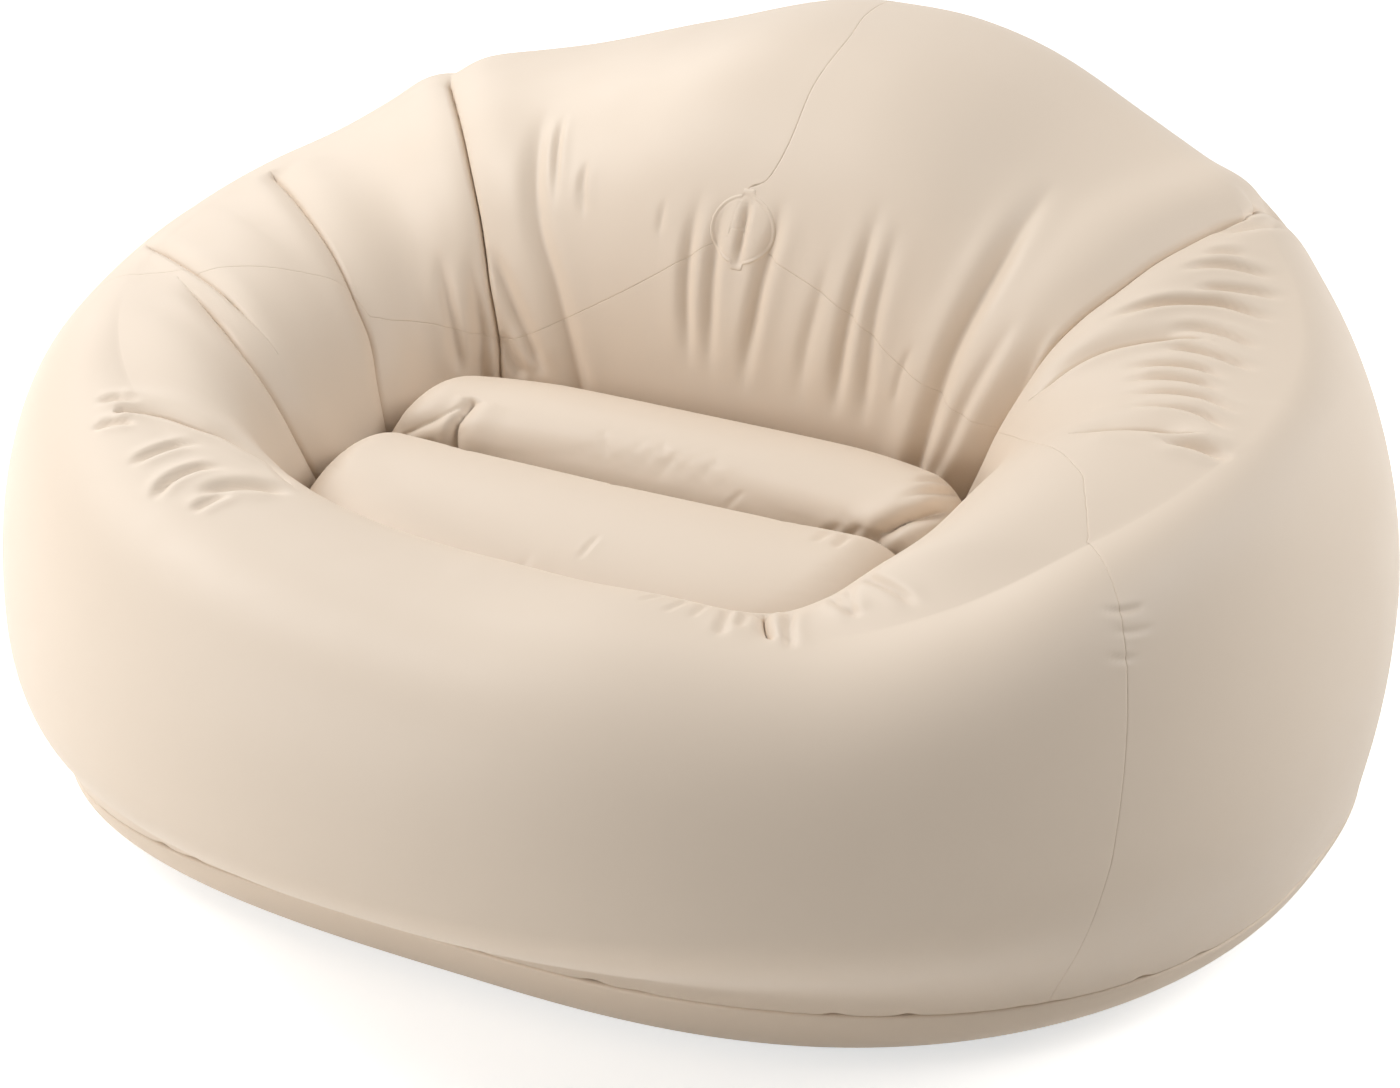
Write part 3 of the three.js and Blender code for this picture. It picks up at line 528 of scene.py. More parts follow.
# %% Styles of crease
# Each style, in millimetres: slit depth and radius, groove depth, its reach to the right and left hand of
# the line, swell on each side, and how sharp the groove is: 1 is a corner, 2 is round
STYLES = {
    "deep": (9, 7, 9, 40, 40, 3, 3, 1.1),
    "fold": (6, 6, 6, 22, 32, 2, 2, 1.2),
    "pleat": (4, 5, 4, 10, 20, 1.5, 1.2, 1.3),
    "hollow": (0, 1, 8, 20, 20, 2.5, 2.5, 1.5),
    "soft": (0, 1, 4, 15, 15, 1.2, 1.2, 1.8),
    "ripple": (0, 1, 2.4, 9, 9, 0.8, 0.8, 1.7),
    "fine": (0, 1, 1.4, 6, 6, 0.5, 0.5, 1.6),
}
print(len(STYLES), "styles, of which", sum(style[0] > 0 for style in STYLES.values()), "fold shut")

# %% Creases, by their pixels in the photograph
# Each crease: style, how strong, the shares of its length over which it starts and ends, pixels along it
CREASES = {
    "left_back": ("deep", 1.0, 0.02, 0, [(443, 66), (455, 115), (466, 165), (478, 220), (487, 280),
        (497, 340), (500, 392)]),
    "left_back_groove": ("soft", 2.2, 0.5, 0, [(464, 240), (474, 290), (480, 335), (481, 370),
        (484, 398)]),
    "left_arm": ("fold", 0.9, 0.04, 0, [(270, 170), (290, 190), (310, 215), (330, 243), (345, 270),
        (360, 303), (375, 340), (383, 385), (392, 432)]),
    "left_arm_upper": ("pleat", 1.0, 0.1, 0.4, [(137, 243), (156, 248), (182, 262), (202, 275),
        (223, 291), (244, 312), (267, 339), (282, 362)]),
    "left_arm_lower": ("fold", 1.3, 0.3, 0, [(177, 277), (198, 295), (223, 320), (244, 346), (267, 377),
        (286, 408), (299, 432), (311, 455)]),
    "left_lip": ("pleat", 1.8, 0.05, 0.3, [(112, 411), (137, 410), (167, 415), (198, 426), (225, 436),
        (251, 452), (274, 467), (297, 490)]),
    "left_lip_back": ("ripple", 2.2, 0.3, 0.3, [(89, 430), (110, 423), (137, 421)]),
    "left_lip_top": ("ripple", 1.8, 0.3, 0.4, [(93, 402), (117, 398), (144, 401)]),
    "left_lip_2": ("ripple", 2.2, 0.3, 0.4, [(125, 467), (152, 453), (182, 444), (204, 443)]),
    "left_lip_3": ("ripple", 2.4, 0.3, 0.3, [(150, 503), (167, 482), (194, 469), (225, 466)]),
    "left_lip_4": ("soft", 1.6, 0.3, 0.3, [(194, 496), (217, 488), (244, 485), (271, 488), (292, 496)]),
    "left_lip_5": ("ripple", 1.8, 0.3, 0.3, [(190, 513), (209, 501), (232, 494)]),
    "back_1": ("hollow", 0.8, 0.35, 0, [(548, 100), (538, 145), (535, 195), (541, 239), (552, 275),
        (563, 319), (571, 350), (577, 378)]),
    "back_2": ("ripple", 1.8, 0.4, 0.5, [(565, 110), (558, 142), (556, 176), (557, 215)]),
    "back_3": ("ripple", 1.3, 0.4, 0.4, [(587, 156), (582, 185), (585, 222)]),
    "back_4": ("soft", 1.4, 0.3, 0.2, [(485, 241), (500, 273), (517, 312), (534, 350), (546, 379)]),
    "back_5": ("soft", 1.2, 0.3, 0.2, [(497, 330), (510, 357), (526, 380)]),
    "wing": ("soft", 1.5, 0.4, 0.2, [(438, 246), (447, 295), (456, 343), (462, 380)]),
    "middle_1": ("soft", 1.3, 0.4, 0.4, [(705, 180), (691, 235), (686, 282), (687, 335), (690, 380)]),
    "middle_2": ("soft", 1.3, 0.4, 0.4, [(733, 186), (719, 225), (712, 270), (709, 315), (709, 350),
        (711, 385)]),
    "middle_3": ("ripple", 1.8, 0.3, 0.4, [(750, 195), (743, 232), (736, 275)]),
    "middle_4": ("soft", 1.6, 0.3, 0.4, [(784, 190), (775, 232), (762, 276), (752, 324), (746, 358),
        (743, 400)]),
    "middle_5": ("ripple", 0.7, 0.4, 0.4, [(665, 195), (658, 240)]),
    "right_1": ("soft", 0.7, 0.5, 0.4, [(837, 237), (820, 295), (806, 346), (800, 385), (797, 412)]),
    "right_2": ("soft", 1.5, 0.4, 0.3, [(884, 190), (866, 250), (850, 310), (841, 355), (836, 395),
        (832, 425)]),
    "right_3": ("soft", 1.1, 0.4, 0.3, [(902, 210), (888, 261), (875, 310), (868, 358), (863, 411),
        (860, 436)]),
    "right_4": ("ripple", 0.6, 0.3, 0.3, [(915, 341), (900, 377), (893, 411)]),
    "right_5": ("hollow", 1.3, 0.35, 0, [(1062, 172), (1014, 237), (980, 295), (951, 353), (934, 402),
        (917, 462)]),
    "right_6": ("soft", 0.9, 0.3, 0, [(1026, 305), (993, 358), (966, 407), (946, 453), (935, 474)]),
    "right_7": ("hollow", 1.0, 0.3, 0, [(1058, 310), (1019, 370), (990, 419), (966, 467), (957, 484)]),
    "right_arm": ("deep", 1.0, 0.03, 0, [(1262, 205), (1243, 213), (1220, 221), (1193, 234), (1155, 255),
        (1117, 283), (1078, 312), (1040, 350), (1010, 390), (985, 430), (963, 480)]),
    "shoulder": ("soft", 1.7, 0.3, 0.3, [(1210, 228), (1235, 225), (1262, 223), (1290, 225)]),
    "arm_1": ("ripple", 2.2, 0.4, 0.4, [(1199, 253), (1224, 253), (1250, 257)]),
    "arm_2": ("ripple", 2.9, 0.4, 0.3, [(1172, 270), (1205, 266), (1235, 268), (1262, 274), (1280, 280)]),
    "arm_3": ("ripple", 2.8, 0.3, 0.3, [(1190, 289), (1224, 289), (1249, 291), (1287, 299)]),
    "arm_4": ("ripple", 4.0, 0.4, 0.3, [(1094, 322), (1126, 312), (1162, 304), (1193, 302), (1222, 304),
        (1251, 312), (1287, 323)]),
    "arm_5": ("ripple", 3.0, 0.4, 0.3, [(1159, 331), (1193, 327), (1224, 333), (1250, 343), (1266, 350)]),
    "arm_6": ("pleat", 2.0, 0.35, 0.3, [(1030, 402), (1069, 368), (1103, 350), (1136, 341), (1164, 337),
        (1193, 337), (1215, 342)]),
    "arm_7": ("ripple", 3.2, 0.3, 0.3, [(1155, 346), (1185, 348), (1212, 354), (1241, 364), (1262, 372)]),
    "arm_8": ("ripple", 3.0, 0.4, 0.3, [(1117, 366), (1155, 364), (1193, 367), (1231, 379)]),
    "arm_9": ("ripple", 3.0, 0.4, 0.3, [(1120, 379), (1155, 377), (1193, 381), (1226, 391)]),
    "arm_10": ("ripple", 3.1, 0.4, 0.3, [(1117, 394), (1147, 392), (1182, 394), (1222, 404),
        (1245, 415)]),
    "arm_11": ("ripple", 3.1, 0.4, 0.3, [(1122, 408), (1155, 406), (1193, 411), (1238, 431)]),
    "arm_12": ("fold", 1.3, 0.3, 0.35, [(1066, 434), (1101, 425), (1132, 423), (1159, 425), (1185, 431),
        (1208, 436)]),
    "arm_13": ("soft", 2.8, 0.4, 0.35, [(1150, 436), (1175, 440), (1203, 446), (1233, 461)]),
    "lip_1": ("fine", 1.0, 0.3, 0.3, [(636, 601), (662, 595)]),
    "lip_2": ("fine", 1.2, 0.3, 0.3, [(660, 613), (688, 600)]),
    "lip_3": ("fine", 1.3, 0.3, 0.3, [(688, 619), (708, 603)]),
    "lip_4": ("ripple", 1.6, 0.3, 0.3, [(717, 638), (728, 614), (734, 604)]),
    "lip_5": ("ripple", 1.5, 0.3, 0.3, [(737, 630), (749, 607)]),
    "lip_6": ("pleat", 1.3, 0.3, 0.1, [(774, 642), (766, 626), (765, 611), (773, 602)]),
    "lip_7": ("ripple", 1.8, 0.3, 0.3, [(792, 652), (788, 624), (792, 606)]),
    "lip_8": ("ripple", 0.9, 0.3, 0.3, [(853, 616), (848, 588)]),
    "lip_9": ("ripple", 1.6, 0.2, 0.3, [(864, 576), (892, 588), (919, 608)]),
    "lip_10": ("ripple", 1.5, 0.3, 0.3, [(822, 590), (840, 603), (862, 618)]),
    "pucker_1": ("fine", 1.2, 0.4, 0.4, [(1094, 606), (1117, 611), (1150, 604)]),
    "pucker_2": ("fine", 0.9, 0.4, 0.4, [(1108, 629), (1125, 632), (1158, 626)]),
    "pucker_3": ("fine", 1.1, 0.4, 0.4, [(1102, 655), (1122, 659), (1143, 656)]),
}
print(len(CREASES), "creases in the photograph")

# %% Crease lines
# Some creases start behind the crest, at these angles and levels
CREASE_STARTS = {
    "left_back": ((-132, 2.7), (-131.5, 2.85)),
    "right_arm": ((134, 2.7), (133, 2.85)),
}
RUN_ON_PIXELS = 45
# A longer step means that the line has left the surface and met it again elsewhere
LARGEST_STEP = 180 * MM


def crease_line(creases, name, tree):
    """A crease in space. One with no end fade runs on under the seat tubes, as far as the surface goes."""
    pixels = np.array(creases[name][4], float)
    if creases[name][3] == 0:
        last = pixels[-1] - pixels[-2]
        pixels = np.concatenate([pixels, [pixels[-1] + last / np.linalg.norm(last) * RUN_ON_PIXELS]])
    line = on_surface(tree, pixels)
    leaps = np.nonzero(np.linalg.norm(np.diff(line, axis=0), axis=1) > LARGEST_STEP)[0] if len(line) else ()
    if len(leaps):
        line = line[:leaps[0] + 1]
    if name in CREASE_STARTS:
        angles, levels = np.array(CREASE_STARTS[name], float).T
        line = np.concatenate([skin(angles, levels), line])
    return line


crease_lines = {name: crease_line(CREASES, name, skin_tree) for name in CREASES}
crease_lines = {name: line for name, line in crease_lines.items() if len(line) > 2}
slit_lines = {name: line for name, line in crease_lines.items() if STYLES[CREASES[name][0]][0] > 0}
print(len(crease_lines), "creases, of which", len(slit_lines), "are folded shut; the longest is",
      round(max(line_length(line) for line in crease_lines.values()), 2), "m")

# %% Soft starts, and what lies near a line
def smoothstep(low, high, value):
    """0 below low, 1 above high and an even S between."""
    u = np.clip((value - low) / np.maximum(high - low, 1e-9), 0, 1)
    return u * u * (3 - 2 * u)


def close_to(line, points, margin):
    """Which points lie in the box round a line, with a margin."""
    return np.nonzero(((points > line.min(0) - margin) & (points < line.max(0) + margin)).all(1))[0]


in_reach = close_to(crease_lines["left_back"], left_seam_line, 0)
print("points of the left seam in the box round the fold beside the back:", len(in_reach))

# %% Relief of the creases
# A crease works out to this many times its reach
RELIEF_REACHES = 2.2


def crease_relief(creases, lines, points, normals):
    """How far the skin moves out (or in, below zero) at points near the creases."""
    relief = np.zeros(len(points))
    for name, line in lines.items():
        style, strength, start_fade, end_fade, _ = creases[name]
        slit, radius, depth, right, left, right_swell, left_swell, sharpness = STYLES[style]
        near = close_to(line, points, RELIEF_REACHES * max(right, left) * MM)
        if not len(near):
            continue
        distance, side, place, _ = sides_of(line, points[near], normals[near])
        reach = np.where(side > 0, right, left) * MM
        swell = np.where(side > 0, right_swell, left_swell) * MM
        x = distance / reach
        groove = -depth * MM * np.exp(-((2 * x) ** sharpness)) + swell * x * x * np.exp(1 - x * x)
        inside = np.clip(1 - distance / (radius * MM), 0, 1)
        roll = -slit * MM * (1 - np.sqrt(1 - inside ** 2))
        fade = smoothstep(0, start_fade, place) * smoothstep(0, end_fade, 1 - place)
        relief[near] += strength * (groove + roll) * fade
    return relief


back_fold = crease_lines["left_back"]
fold_normals = np.broadcast_to(to_camera, back_fold.shape)
sunk = crease_relief(CREASES, crease_lines, back_fold, fold_normals)
print("the fold beside the back sinks up to", round(float(-sunk.min()) / MM, 1), "mm")

# %% Distance from the shut folds
SLIT_MARGIN = 30 * MM
FAR_AWAY = 1.0


def slit_distance(points, normals):
    """Distance of points from the nearest shut fold, and the nearest point on it."""
    best = np.full(len(points), FAR_AWAY)
    nearest = points.copy()
    for line in slit_lines.values():
        near = close_to(line, points, SLIT_MARGIN)
        if len(near):
            distance, _, _, place = sides_of(line, points[near], normals[near])
            closer = distance < best[near]
            best[near[closer]] = distance[closer]
            nearest[near[closer]] = place[closer]
    return best, nearest


on_fold, _ = slit_distance(back_fold, fold_normals)
print("points of a fold lie at most", round(float(on_fold.max()) / MM, 2), "mm from a fold")

# %% [markdown]
# ## Puckers, the valve's seat and rolled borders
#
# Three small things shape the sheet besides the creases. The base weld gathers the sides a little, so
# their lower edge is drawn up in short puckers. The moulded valve holds the sheet flat round it. And at
# a weld two sheets meet on edge, so each rolls in. All three are formulas of the place on the skin,
# because they then fit whatever grid is laid there.

# %% Formulas for the borders
PUCKERS = 48
PUCKER_RISE = 3.2 * MM
PUCKER_TOP_LEVEL = 1.07
PUCKER_HALF_WIDTH = 1.0
# Puckers shift and change strength from one to the next, so that they don't look even
PUCKER_SHIFT, SHIFT_TURN = 0.3, 2.4
PUCKER_MEAN, PUCKER_SWING, SWING_TURN = 0.55, 0.45, 1.7
VALVE_ANGLE = 160
VALVE_CENTRE = skin(VALVE_ANGLE, BELLY)
VALVE_NORMAL = skin_normal(VALVE_ANGLE, BELLY) * (1, 1, 0)
VALVE_NORMAL = VALVE_NORMAL / np.linalg.norm(VALVE_NORMAL)
VALVE_FLAT = 60 * MM
VALVE_BLEND = 1.6 * VALVE_FLAT


def pucker_rise(angle, level):
    """How far the puckers at the base weld draw the lower edge of the sides up."""
    spacing = 360 / PUCKERS
    rise = np.zeros(angle.shape)
    for number in range(PUCKERS):
        middle = number * spacing + PUCKER_SHIFT * spacing * math.sin(number * SHIFT_TURN)
        away = (angle - middle + 180) % 360 - 180
        strength = PUCKER_MEAN + PUCKER_SWING * math.sin(number * SWING_TURN)
        rise = rise + strength * np.exp(-(away / PUCKER_HALF_WIDTH) ** 2)
    near = 1 - smoothstep(WELD, PUCKER_TOP_LEVEL, level)
    return PUCKER_RISE * rise * near ** 3


def press_flat(points):
    """Presses the skin flat behind the valve."""
    offset = points - VALVE_CENTRE
    share = 1 - smoothstep(VALVE_FLAT, VALVE_BLEND, np.linalg.norm(offset, axis=1))
    return points - VALVE_NORMAL * ((offset @ VALVE_NORMAL) * share)[:, None]


def border_drop(index, count, at_low, at_high):
    """How far the crowded rows or columns at each border roll in."""
    drop = np.zeros(count)
    drop[:len(at_low)] = at_low
    drop[-len(at_high):] = np.maximum(drop[-len(at_high):], at_high[::-1])
    return drop[index]


print("the valve sits", round(float(VALVE_CENTRE[2]), 3), "m above the floor")

# %% [markdown]
# ## Finished panels
#
# Each grid takes its place on the skin, sinks and swells with the creases, and rolls in at its
# welded borders, where a narrow flange turns inwards as on the real welds. The front panel is two
# grids, joined where they meet on the crest. The grids are divided again along the shut folds, where
# even cells would be too coarse for a sharp edge.

# %% Divide a grid at the folds
REFINE_WITHIN = (9 * MM, 5 * MM)


def skin_places(bm):
    """Points and normals on the smooth skin of a grid whose coordinates are angle, level and roll-in."""
    angle, level, drop = np.array([v.co for v in bm.verts], float).T
    points = skin(angle, level) + pucker_rise(angle, level)[:, None] * (0, 0, 1)
    return points, skin_normal(angle, level), drop


def refine_at_folds(bm):
    """Divides the cells of a grid twice, close to the shut folds."""
    for within in REFINE_WITHIN:
        points, normals, _ = skin_places(bm)
        close = slit_distance(points, normals)[0] < within
        edges = [edge for edge in bm.edges if close[edge.verts[0].index] and close[edge.verts[1].index]]
        bmesh.ops.subdivide_edges(bm, edges=edges, cuts=1, use_grid_fill=True)
        bm.verts.index_update()
        print(len(edges), "edges divided within", round(within / MM, 1), "mm of a fold")


# %% Lay a grid on the skin
SNAP_WITHIN = 0.6 * MM


def place_vertices(bm, points, normals):
    """Moves the vertices to their points, and notes which way is inwards there, for the flange."""
    inward = bm.verts.layers.float_vector.new("inward")
    for vert, point, normal in zip(bm.verts, points, normals):
        vert.co = point
        vert[inward] = -normal


def as_mesh(bm, name):
    """Turns a bmesh into a mesh and frees it."""
    mesh = bpy.data.meshes.new(name)
    bm.to_mesh(mesh)
    bm.free()
    return mesh


def lay_panel(name, table, levels, sides, ends, drop_columns=None):
    """One grid laid on the creased skin, with how far its sides and its low and high ends roll in."""
    rows, columns = levels.shape
    bm, shares = unit_grid(columns - 1, rows - 1)
    column, row = grid_places(shares, columns - 1, rows - 1)
    drop = np.maximum(border_drop(column, columns, *sides), border_drop(row, rows, *ends))
    if drop_columns is not None:
        drop = drop * drop_columns[column]
    angles = angles_at(table, levels)
    for vert, place in zip(bm.verts, np.stack([angles[row, column], levels[row, column], drop], 1)):
        vert.co = place
    refine_at_folds(bm)
    points, normals, drop = skin_places(bm)
    distance, nearest = slit_distance(points, normals)
    points = np.where((distance < SNAP_WITHIN)[:, None], nearest, points)
    relief = crease_relief(CREASES, crease_lines, points, normals)
    place_vertices(bm, press_flat(points + normals * relief[:, None]) - normals * drop[:, None], normals)
    print(name, "grid:", columns, "by", rows, "and", len(bm.verts), "vertices with its folds")
    return as_mesh(bm, name)


# %% Join grids and give them their flanges
FLANGE = 6 * MM
DOUBLES_WITHIN = 0.02 * MM
SEAM_DROPS = np.array([0.45, 0.14, 0.03, 0]) * MM
WELD_DROPS = np.array([2.6, 1.3, 0.3, 0]) * MM
BACK_SEAM_DROPS = 1.5 * SEAM_DROPS
NO_DROPS = 0 * SEAM_DROPS


def joined(name, meshes):
    """One mesh of several that meet, with the doubles merged and a flange along its free edges."""
    bm = bmesh.new()
    for mesh in meshes:
        bm.from_mesh(mesh)
        bpy.data.meshes.remove(mesh)
    bmesh.ops.remove_doubles(bm, verts=bm.verts, dist=DOUBLES_WITHIN)
    inward = bm.verts.layers.float_vector["inward"]
    grown = bmesh.ops.extrude_edge_only(bm, edges=[edge for edge in bm.edges if edge.is_boundary])["geom"]
    flange = {item for item in grown if isinstance(item, bmesh.types.BMVert)}
    for vert in flange:
        vert.co += Vector(vert[inward]) * FLANGE
    bm.verts.layers.float_vector.remove(inward)
    for face in bm.faces:
        face.smooth = not any(vert in flange for vert in face.verts)
    return as_mesh(bm, name)


print("flange:", round(FLANGE / MM, 1), "mm; the sheet rolls in by up to",
      round(float(WELD_DROPS.max()) / MM, 1), "mm at the base weld")

# %% The three skins
def add_piece(name, mesh, body="chair"):
    """An object for a finished mesh, riding on a body of the frame."""
    piece = bpy.data.objects.new(name, mesh)
    scene.collection.objects.link(piece)
    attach(piece, body)
    return piece


# The band rolls in only where it meets the back panels: with the front grid it is one sheet
band_weld = np.ones(band_top.shape)
band_weld[is_front] = 0
front_skin = add_piece("front_skin", joined("front_skin", [
    lay_panel("front", front_table, front_levels, (SEAM_DROPS, SEAM_DROPS), (WELD_DROPS, NO_DROPS)),
    lay_panel("band", band_table, band_levels, (NO_DROPS, NO_DROPS), (SEAM_DROPS, NO_DROPS), band_weld),
]))
left_skin = add_piece("left_back_skin", joined("left_back_skin", [
    lay_panel("left", left_table, left_levels, (BACK_SEAM_DROPS, SEAM_DROPS), (WELD_DROPS, SEAM_DROPS)),
]))
right_skin = add_piece("right_back_skin", joined("right_back_skin", [
    lay_panel("right", right_table, right_levels, (SEAM_DROPS, BACK_SEAM_DROPS), (WELD_DROPS, SEAM_DROPS)),
]))

# %% [markdown]
# ## The hole for the valve
#
# The air goes in through a moulded valve, low in the back, and the sheet has a round hole there. A
# boolean cut would do it, but it leaves thin, uneven faces that show in the light. So the cells near
# the hole are divided, those inside it are deleted, and the rim is drawn on to a true circle.

# %% Cut the hole and hand the panels over
VALVE_HOLE = 17.3 * MM
HOLE_REFINE = (5 * MM, 3 * MM)


def cut_valve_hole(piece):
    """Cuts a round hole in the skin where the valve goes through."""
    bm = bmesh.new()
    bm.from_mesh(piece.data)
    centre, normal = Vector(VALVE_CENTRE), Vector(VALVE_NORMAL)

    def radius(place):
        """Distance from the valve's axis, for what lies close to the valve."""
        offset = place - centre
        away = offset.dot(normal)
        return (offset - normal * away).length if abs(away) < VALVE_FLAT else FAR_AWAY

    for within in HOLE_REFINE:
        near = {vert for vert in bm.verts if abs(radius(vert.co) - VALVE_HOLE) < within}
        edges = [edge for edge in bm.edges if near.issuperset(edge.verts)]
        bmesh.ops.subdivide_edges(bm, edges=edges, cuts=1, use_grid_fill=True)
    inside = [face for face in bm.faces if radius(face.calc_center_median()) < VALVE_HOLE]
    bmesh.ops.delete(bm, geom=inside, context="FACES")
    for vert in bm.verts:
        if vert.is_boundary and radius(vert.co) < VALVE_HOLE + HOLE_REFINE[1]:
            offset = vert.co - centre
            flat = offset - normal * offset.dot(normal)
            vert.co += flat * (VALVE_HOLE / flat.length - 1)
    bm.to_mesh(piece.data)
    bm.free()


cut_valve_hole(right_skin)
SKIN_NODES = ((front_skin, "front_panel"), (left_skin, "left_back_panel"), (right_skin, "right_back_panel"))
for piece, node in SKIN_NODES:
    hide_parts(node)
    print(piece.name, len(piece.data.polygons), "faces")

# %% [markdown]
# ## The base
#
# The base sheet lies flat on the floor in its middle and turns up to meet the sides in a weld that
# runs all round, 80 mm above the floor. A disc pushed into shape would do for the flat part. But the
# rim has to follow the lower two outlines of the skin, so it is one grid, wound round the chair, whose
# first rows shrink to a point in the middle of the floor.

# %% Base panel
BASE_COLUMNS, BASE_DISC_ROWS, BASE_RIM_ROWS = 720, 14, 48
BASE_EDGE_DROP = 2.6 * MM
# The rim rolls in over about this share of the way up from the floor to the weld
BASE_EDGE_SHARE = 0.006
# Normals are read from a little above the floor's edge, where the sheet has left the floor
LOWEST_NORMAL_LEVEL = 0.02
FLOOR_MIDDLE = np.array([0, BASE_MIDDLE, 0])


def base_grid():
    """Grid from the middle of the floor patch out to its edge and up to the base weld."""
    rows = BASE_DISC_ROWS + BASE_RIM_ROWS
    bm, shares = unit_grid(BASE_COLUMNS, rows)
    column, row = grid_places(shares, BASE_COLUMNS, rows)
    angle = column_table(BACK_LEFT, BACK_RIGHT, np.linspace(0, 1, BASE_COLUMNS + 1))[0][column]
    disc = np.clip(row / BASE_DISC_ROWS, 0, 1)
    to_weld = 1 - np.clip((row - BASE_DISC_ROWS) / BASE_RIM_ROWS, 0, 1)
    level = WELD - to_weld ** 2
    points = FLOOR_MIDDLE + (skin(angle, level) - FLOOR_MIDDLE) * disc[:, None]
    normals = skin_normal(angle, np.maximum(level, LOWEST_NORMAL_LEVEL))
    rolled = BASE_EDGE_DROP * np.exp((level - WELD) / BASE_EDGE_SHARE)
    place_vertices(bm, points - normals * rolled[:, None], normals)
    bmesh.ops.remove_doubles(bm, verts=bm.verts, dist=DOUBLES_WITHIN)
    return as_mesh(bm, "base")


base_skin = add_piece("base_skin", joined("base_skin", [base_grid()]))
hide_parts("base_panel")
print("base:", len(base_skin.data.polygons), "faces")

# %% [markdown]
# ## Seat tubes
#
# The seat is two fat tubes side by side, blown up between the webs: each a sheet folded round and
# welded shut at both ends, so its ends draw in to a line. A capsule would be easy, but its ends are
# balls. So a flat grid is rolled round: across it the sheet goes from the edge of the well over the
# top to the valley and back underneath, and it thins out to a line at both ends.

# %% Tubes
TUBE_RISE = {"front_tube_skin": 68 * MM, "rear_tube_skin": 80 * MM}
TUBE_BELLY = 25 * MM
TUBE_SIDE_SHARE = 0.85
VALLEY_HEIGHT = 385 * MM
TUBE_END = 62 * MM
TUBE_ALONG, TUBE_ROUND = 200, 64
TUBE_GAP = 1 * MM
VALLEY_GAP = 0.3 * MM
TUBE_DOUBLES = 0.05 * MM


def well_edge(x, reach):
    """Front or back edge of the foot of the well at distances from the middle line."""
    spread = np.abs(x / WELL_HALF_WIDTH) ** (2 / WELL_CORNERS)
    share = np.sqrt(np.maximum(1 - spread, 0)) ** WELL_CORNERS
    return -VALLEY_SETBACK + (reach + VALLEY_SETBACK) * share


def tube(name, reach):
    """Closed tube between the edge of the well and the valley, flattening to a line at both ends."""
    bm, shares = unit_grid(TUBE_ALONG, TUBE_ROUND)
    x = (WELL_HALF_WIDTH - TUBE_GAP) * np.sin((shares[:, 0] - 0.5) * math.pi)
    past = np.maximum(0, np.abs(x) - (WELL_HALF_WIDTH - TUBE_END)) / TUBE_END
    full = np.sqrt(np.maximum(0, 1 - past ** 2))
    arc = shares[:, 1] * 2 * math.pi
    side = np.sign(reach + VALLEY_SETBACK)
    edge = well_edge(x, reach) - side * TUBE_GAP
    valley = -VALLEY_SETBACK + side * VALLEY_GAP
    across = (1 - np.cos(arc)) / 2
    base_z = WELL_FOOT_HEIGHT + (VALLEY_HEIGHT - WELL_FOOT_HEIGHT) * full * across
    swell = np.sign(np.sin(arc)) * np.abs(np.sin(arc)) ** TUBE_SIDE_SHARE
    crown = np.where(arc <= math.pi, TUBE_RISE[name], TUBE_BELLY) * full * swell
    for vert, point in zip(bm.verts, np.stack([x, edge + (valley - edge) * across, base_z + crown], 1)):
        vert.co = point
    bmesh.ops.remove_doubles(bm, verts=bm.verts, dist=TUBE_DOUBLES)
    bmesh.ops.holes_fill(bm, edges=[edge for edge in bm.edges if edge.is_boundary])
    bmesh.ops.recalc_face_normals(bm, faces=bm.faces)
    return add_piece(name, as_mesh(bm, name))


front_tube = tube("front_tube_skin", -WELL_FRONT)
rear_tube = tube("rear_tube_skin", WELL_BACK)
for piece in (front_tube, rear_tube):
    print(piece.name, "starts with", len(piece.data.polygons), "faces")

# %% [markdown]
# ## Blow the tubes up
#
# On the real chair air presses the tubes round until they push against each other and the well. That
# is what cloth with pressure does, so Blender works it out here: each tube is shrunk a little, given
# even cells by a voxel remesh, because cloth on long thin cells tears into spikes, and blown up for a
# few frames. A cap keeps it from pushing through its neighbours.

# %% Read, move and bake vertices
def vectors(items, field):
    """One vector for each item of a mesh, such as the places of its vertices."""
    flat = np.zeros(len(items) * 3, np.float32)
    items.foreach_get(field, flat)
    return flat.reshape(-1, 3).astype(float)


def move_vertices(mesh, points):
    """Puts the vertices of a mesh at new points."""
    mesh.vertices.foreach_set("co", points.astype(np.float32).ravel())


def with_modifiers(piece):
    """Bakes the modifiers of a piece into its mesh."""
    made = bpy.data.meshes.new_from_object(piece.evaluated_get(bpy.context.evaluated_depsgraph_get()))
    piece.modifiers.clear()
    old, piece.data = piece.data, made
    bpy.data.meshes.remove(old)


print("front tube is", round(float(np.ptp(vectors(front_tube.data.vertices, "co")[:, 2])), 3), "m thick")

# %% Blow the tubes up as cloth
CLOTH_VOXEL = 5 * MM
CLOTH_PRESSURE = 4
CLOTH_FRAMES = 20
CLOTH_START_INSET = 3 * MM
CLOTH_CAP = 7 * MM


def press_out(piece):
    """Lets air press a closed piece outwards as cloth, each vertex no further than the cap."""
    start = vectors(piece.data.vertices, "co")
    cloth = piece.modifiers.new("cloth", "CLOTH")
    cloth.settings.use_pressure = True
    cloth.settings.uniform_pressure_force = CLOTH_PRESSURE
    cloth.settings.effector_weights.gravity = 0
    for moment in range(1, CLOTH_FRAMES + 1):
        scene.frame_set(moment)
    with_modifiers(piece)
    scene.frame_set(1)
    moved = vectors(piece.data.vertices, "co") - start
    length = np.linalg.norm(moved, axis=1, keepdims=True)
    print(piece.name, "moved by", round(float(length.mean()) / MM, 1), "mm before the cap")
    move_vertices(piece.data, start + moved * np.minimum(1, CLOTH_CAP / np.maximum(length, 1e-9)))


